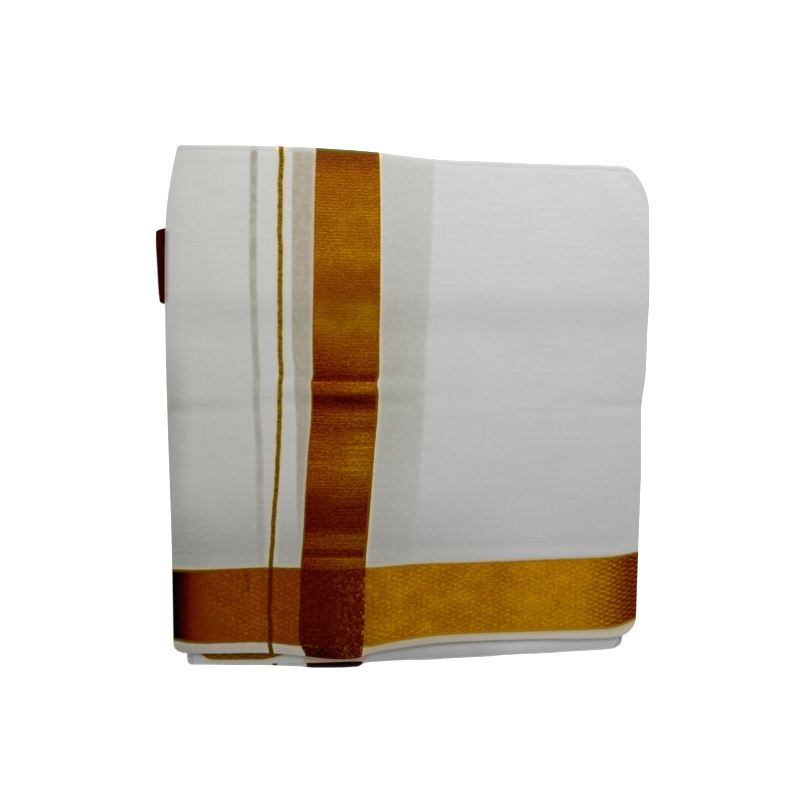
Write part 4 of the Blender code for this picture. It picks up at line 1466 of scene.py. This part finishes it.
# %% [markdown]
# ## A stack of paths
#
# The path is copied once for each ply, and each copy is moved inwards by its pitch. Where the turns are
# tighter the plies lie closer, which the path's `squeeze` says. A noise moves each copy in and out a
# little, so that no two edges lie exactly flush.

# %% Stack of paths
WANDER_SCALE = 14.0     # of the noise, per metre


def stacked_paths(graph, size):
    """One copy of the path for each ply, moved in towards the middle of the turns."""
    add = graph.node
    path = add("GeometryNodeMeshToCurve", sockets={0: size["Path"]})
    copies = add("GeometryNodeDuplicateElements", {"domain": "SPLINE"}, {
        "Geometry": path, "Amount": size["Plies"]})
    number = Socket(graph, copies.output.node.outputs["Duplicate Index"])
    depth = (size["First"] + number * size["Pitch"]) * graph.attribute("squeeze")
    inwards = add("ShaderNodeVectorMath", {"operation": "CROSS_PRODUCT"}, {
        0: add("GeometryNodeInputTangent"), 1: (1.0, 0.0, 0.0)})
    inwards = add("ShaderNodeVectorMath", {"operation": "SCALE"}, {0: inwards, "Scale": depth})
    drift = add("ShaderNodeTexNoise", {"noise_dimensions": "4D"}, {
        "W": number * 3.7 + size["Seed"], "Scale": WANDER_SCALE, "Detail": 2.0})
    sideways = add("ShaderNodeCombineXYZ", sockets={0: (drift - 0.5) * 2.0 * size["Unevenness"]})
    moved = add("ShaderNodeVectorMath", {"operation": "ADD"}, {0: inwards, 1: sideways})
    return add("GeometryNodeSetPosition", sockets={"Geometry": copies, "Offset": moved})


print("the paths wander over about", round(1000 / WANDER_SCALE), "mm")

# %% [markdown]
# ## The tree for the folded edges
#
# The tree's sizes are named inputs, so both sides of the packet use the same tree. It sweeps the profile
# along the stack of paths and stores the pattern coordinates, so that the border shows in the edges too. At
# its end the copies are made real and get the finish.

# %% Geometry Nodes for folded edges
EDGE_U = 620.0          # the u that all folded edges share
INPUT_KINDS = {
    "Path": "Geometry", "Plies": "Int", "First": "Float", "Pitch": "Float", "Nose": "Float", "Leg": "Float",
    "Inwards": "Float", "Unevenness": "Float", "Seed": "Int",
}


def folded_edges_tree(material):
    """A tree that turns a path into a stack of folded edges."""
    tree = bpy.data.node_groups.new("folded edges", "GeometryNodeTree")
    for name, kind in INPUT_KINDS.items():
        tree.interface.new_socket(name, in_out="INPUT", socket_type="NodeSocket" + kind)
    tree.interface.new_socket("Edges", in_out="OUTPUT", socket_type="NodeSocketGeometry")
    graph = Graph(tree)
    add = graph.node
    entry = tree.nodes.new("NodeGroupInput")
    size = {socket.name: Socket(graph, socket) for socket in entry.outputs if socket.name}
    edges = add("GeometryNodeSetCurveNormal", {"mode": "FREE"}, {
        "Curve": stacked_paths(graph, size), "Normal": (1.0, 0.0, 0.0)})
    edges = add("GeometryNodeCurveToMesh", sockets={
        "Curve": edges, "Profile Curve": fold_profile(graph, size)})
    pattern = add("ShaderNodeCombineXYZ", sockets={0: EDGE_U * MM, 1: graph.attribute("v") * MM})
    edges = add("GeometryNodeStoreNamedAttribute", {"data_type": "FLOAT2", "domain": "CORNER"}, {
        "Geometry": edges, "Name": "weave", "Value": pattern})
    edges = add("GeometryNodeSetShadeSmooth", sockets={"Geometry": edges})
    edges = add("GeometryNodeRealizeInstances", sockets={"Geometry": edges})
    edges = add("GeometryNodeSetMaterial", sockets={"Geometry": edges, "Material": material})
    add("NodeGroupOutput", sockets={0: edges})
    return tree


edge_tree = folded_edges_tree(finish)
print("the tree for folded edges has", len(edge_tree.nodes), "nodes")

# %% [markdown]
# ## One side's edges
#
# The tree becomes a modifier on the path. Its inputs are set by their identifiers, before Blender works it
# out for the first time, and then the result is made a plain mesh and the modifier is removed.

# %% Edges of one side
EDGE_SIZES = {"First": 1.55, "Pitch": 0.37, "Nose": 0.16, "Leg": 9.0, "Unevenness": 0.8}


def folded_edges(name, tree, path, plies, inwards, seed):
    """The folded edges of one side. Inwards is 1 where the legs run towards +x, and -1 where towards -x."""
    piece = path_piece(name, path)
    sizes = {size_name: size * MM for size_name, size in EDGE_SIZES.items()}
    sizes.update({"Plies": plies, "Inwards": float(inwards), "Seed": seed})
    modifier = piece.modifiers.new("folded edges", "NODES")
    modifier.node_group = tree
    for item in tree.interface.items_tree:
        if item.name in sizes:
            modifier[item.identifier] = sizes[item.name]
    apply_modifiers(piece)
    print(name, "has", len(piece.data.polygons), "faces")
    return piece


print("the edges are", EDGE_SIZES["Pitch"], "mm apart and their noses", EDGE_SIZES["Nose"], "mm round")

# %% [markdown]
# ## The border's loop at the left
#
# The border is stiff with gold thread, so where the inner end of the cloth is folded its border does not
# crease as flat as the cotton. It stands out at the left as a loop, dark because we see it from its dull
# side.

# %% Border loop
LoopEdge = namedtuple("LoopEdge", "y out")
LOOP_EDGE = rows_of(LoopEdge, [
    (58, -150.5), (62.5, -152.0), (66.5, -153.4), (68.2, -158.4), (70, -159.9), (92, -161.3),
    (112.5, -162.0), (115, -160.9), (117, -154.5), (120, -152.5),
])
LOOP_LOW, LOOP_HIGH = 4.75, 6.65
LOOP_ROOT = -134.0
LOOP_SELVEDGE_AT = 62.0


def border_loop():
    rows = []
    middle, half = (LOOP_LOW + LOOP_HIGH) / 2, (LOOP_HIGH - LOOP_LOW) / 2
    for y in spread(120.0, 60.0, 1.2):
        out = smooth_through(LOOP_EDGE, y)
        wave = 0.18 * noise.noise(Vector((y * 0.15, 0.0, 5.0)))
        upper = [Vector((x, y, middle + half + wave)) for x in spread(LOOP_ROOT, out + half + 1.5, 2.4)]
        turn = [
            Vector((out + half - half * math.sin(a), y, middle + wave + half * math.cos(a)))
            for a in (math.pi * k / 8 for k in range(9))
        ]
        lower = [Vector((x, y, middle - half + wave)) for x in spread(out + half + 1.5, LOOP_ROOT, 2.4)]
        rows.append(upper + turn + lower)
    rows = same_count(rows)
    stitched = []
    for row in rows:
        u, stitches = 0.0, []
        for k, place in enumerate(row):
            u += (place - row[k - 1]).length if k else 0.0
            stitches.append(Stitch(place, u - 66.0, place.y - LOOP_SELVEDGE_AT))
        stitched.append(stitches)
    return cloth("border_loop", stitched)


loop = border_loop()
loop.data.materials.append(finish)

# %% [markdown]
# ## The plies on both sides
#
# At the left the innermost leaf ends behind the loop. At the right its edges run on to the end of the leaf.

# %% Folded edges, left and right
PLIES_LEFT, PLIES_RIGHT = 5, 4
left_plies = folded_edges("left_plies", edge_tree, spiral(1, 121.0), PLIES_LEFT, 1, 5)
right_plies = folded_edges("right_plies", edge_tree, spiral(-1, 64.0), PLIES_RIGHT, -1, 9)

# %% [markdown]
# ## Floor, light and camera
#
# The packet lies on a white floor under a big soft lamp, behind it to the right. A white surround, bright
# near the horizon, fills the shadows. The floor glows a little, so it stays white.

# %% Studio
def studio_floor():
    mesh = bmesh.new()
    bmesh.ops.create_grid(mesh, x_segments=1, y_segments=1, size=40.0)
    bmesh.ops.translate(mesh, verts=mesh.verts, vec=(0, 0, -0.0003))
    return piece_of("floor", mesh)


floor = studio_floor()
paper = bpy.data.materials.new("white_paper")
sheet = bare(paper)
white = sheet.node("ShaderNodeBsdfPrincipled", sockets={
    "Base Color": (0.9, 0.9, 0.9, 1), "Roughness": 0.9,
    "Emission Color": (1, 1, 1, 1), "Emission Strength": 0.80})
sheet.node("ShaderNodeOutputMaterial", sockets={"Surface": white})
floor.data.materials.append(paper)

world = bpy.data.worlds.new("surround")
sky = bare(world)
direction = sky.node("ShaderNodeTexCoord")
height = sky.node("ShaderNodeSeparateXYZ", sockets={0: direction}, output=2)
glow = sky.node("ShaderNodeMapRange", {"interpolation_type": "SMOOTHSTEP"}, {
    "Value": height, "From Min": 0.02, "From Max": 0.45, "To Min": 1.0, "To Max": 0.35})
surround = sky.node("ShaderNodeBackground", sockets={"Color": (0.98, 0.99, 1.0, 1), "Strength": glow})
sky.node("ShaderNodeOutputWorld", sockets={"Surface": surround})
bpy.context.scene.world = world
bpy.context.scene.view_settings.view_transform = "Standard"

lamp_data = bpy.data.lights.new("soft lamp", "AREA")
lamp_data.shape = "SQUARE"
lamp_data.size = 0.4
lamp_data.energy = 3.05
lamp = new_object("soft lamp", lamp_data)
lamp.location = (0.09, 0.475, 0.44)
lamp.rotation_euler = (-lamp.location).to_track_quat("-Z", "Y").to_euler()
print("the lamp stands", round(lamp.location.z, 2), "m up and measures", round(lamp_data.size, 2), "m")

# %% [markdown]
# ## The camera
#
# The camera looks nearly straight down and leans a little to the left and back. Its place is worked out
# from the point it aims at, so the packet stays in the frame whatever the lean. A long lens from far off
# would flatten it.

# %% Camera
AIM = Vector((-0.008, 0.0082, 0.013))
DISTANCE = 0.760
LEAN_LEFT, LEAN_BACK = math.radians(7), math.radians(2)
LENS = 53.01

towards_camera = Vector((-math.sin(LEAN_LEFT), math.sin(LEAN_BACK), 0))
towards_camera.z = math.sqrt(1 - towards_camera.length_squared)
right_of_view = (-towards_camera).cross(Vector((0, 1, 0))).normalized()
up_of_view = right_of_view.cross(-towards_camera)
camera_data = bpy.data.cameras.new("camera")
camera_data.lens = LENS
camera_data.clip_start = 0.01
camera = new_object("camera", camera_data)
turn = Matrix((right_of_view, up_of_view, towards_camera)).transposed().to_4x4()
camera.matrix_world = Matrix.Translation(AIM + towards_camera * DISTANCE) @ turn
bpy.context.scene.camera = camera
print("camera at", [round(value, 3) for value in camera.location], "m")

# %% [markdown]
# ## Handing the cloth over
#
# At the end each piece says what it rides on and which solid it stands for. Each is a sheet of cloth, so its
# flat size is given too, read from the pattern coordinates, which measure flat cloth. The folded edges share
# one `u`, so their width is counted: one strip for each ply.

# %% Declarations
def flat_size(piece):
    """The extent of the pattern coordinates, in metres."""
    points = [loop.uv for loop in piece.data.uv_layers["weave"].data]
    wide = max(p.x for p in points) - min(p.x for p in points)
    long = max(p.y for p in points) - min(p.y for p in points)
    return round(wide, 4), round(long, 4)


StandsFor = namedtuple("StandsFor", "piece node slot rests")
STANDS_FOR = rows_of(StandsFor, [
    (top, "top_leaf", "white_cotton", [second, under]),
    (under, "under_leaf", "white_cotton", []),
    (second, "second_leaf", "white_cotton", [under]),
    (left_plies, "hidden_layers", "white_cotton", [under]),
    (right_plies, "hidden_layers", "white_cotton", [under]),
    (loop, "inner_flap", "gold_border", [under]),
    *[(selvedge, "hidden_layers", "white_cotton", [second]) for selvedge in selvedges],
])
EDGE_STRIP = 18.5 * MM      # flat width of one folded edge
SECOND_HEM = 1.5            # what the second cloth's front edge adds to its depth

for row in STANDS_FOR:
    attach(row.piece, "root")
    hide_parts(row.node)
    flat = flat_size(row.piece)
    if row.piece is second:
        flat = (flat[0], round((SECOND_DEPTH + SECOND_HEM) * MM, 4))
    if row.piece in (left_plies, right_plies):
        flat = ((PLIES_LEFT if row.piece is left_plies else PLIES_RIGHT) * EDGE_STRIP, flat[1])
    print(row.piece.name, "stands for", row.node, "and was cut", flat, "m")
print("sheets of cloth:", len(STANDS_FOR))

# %% [markdown]
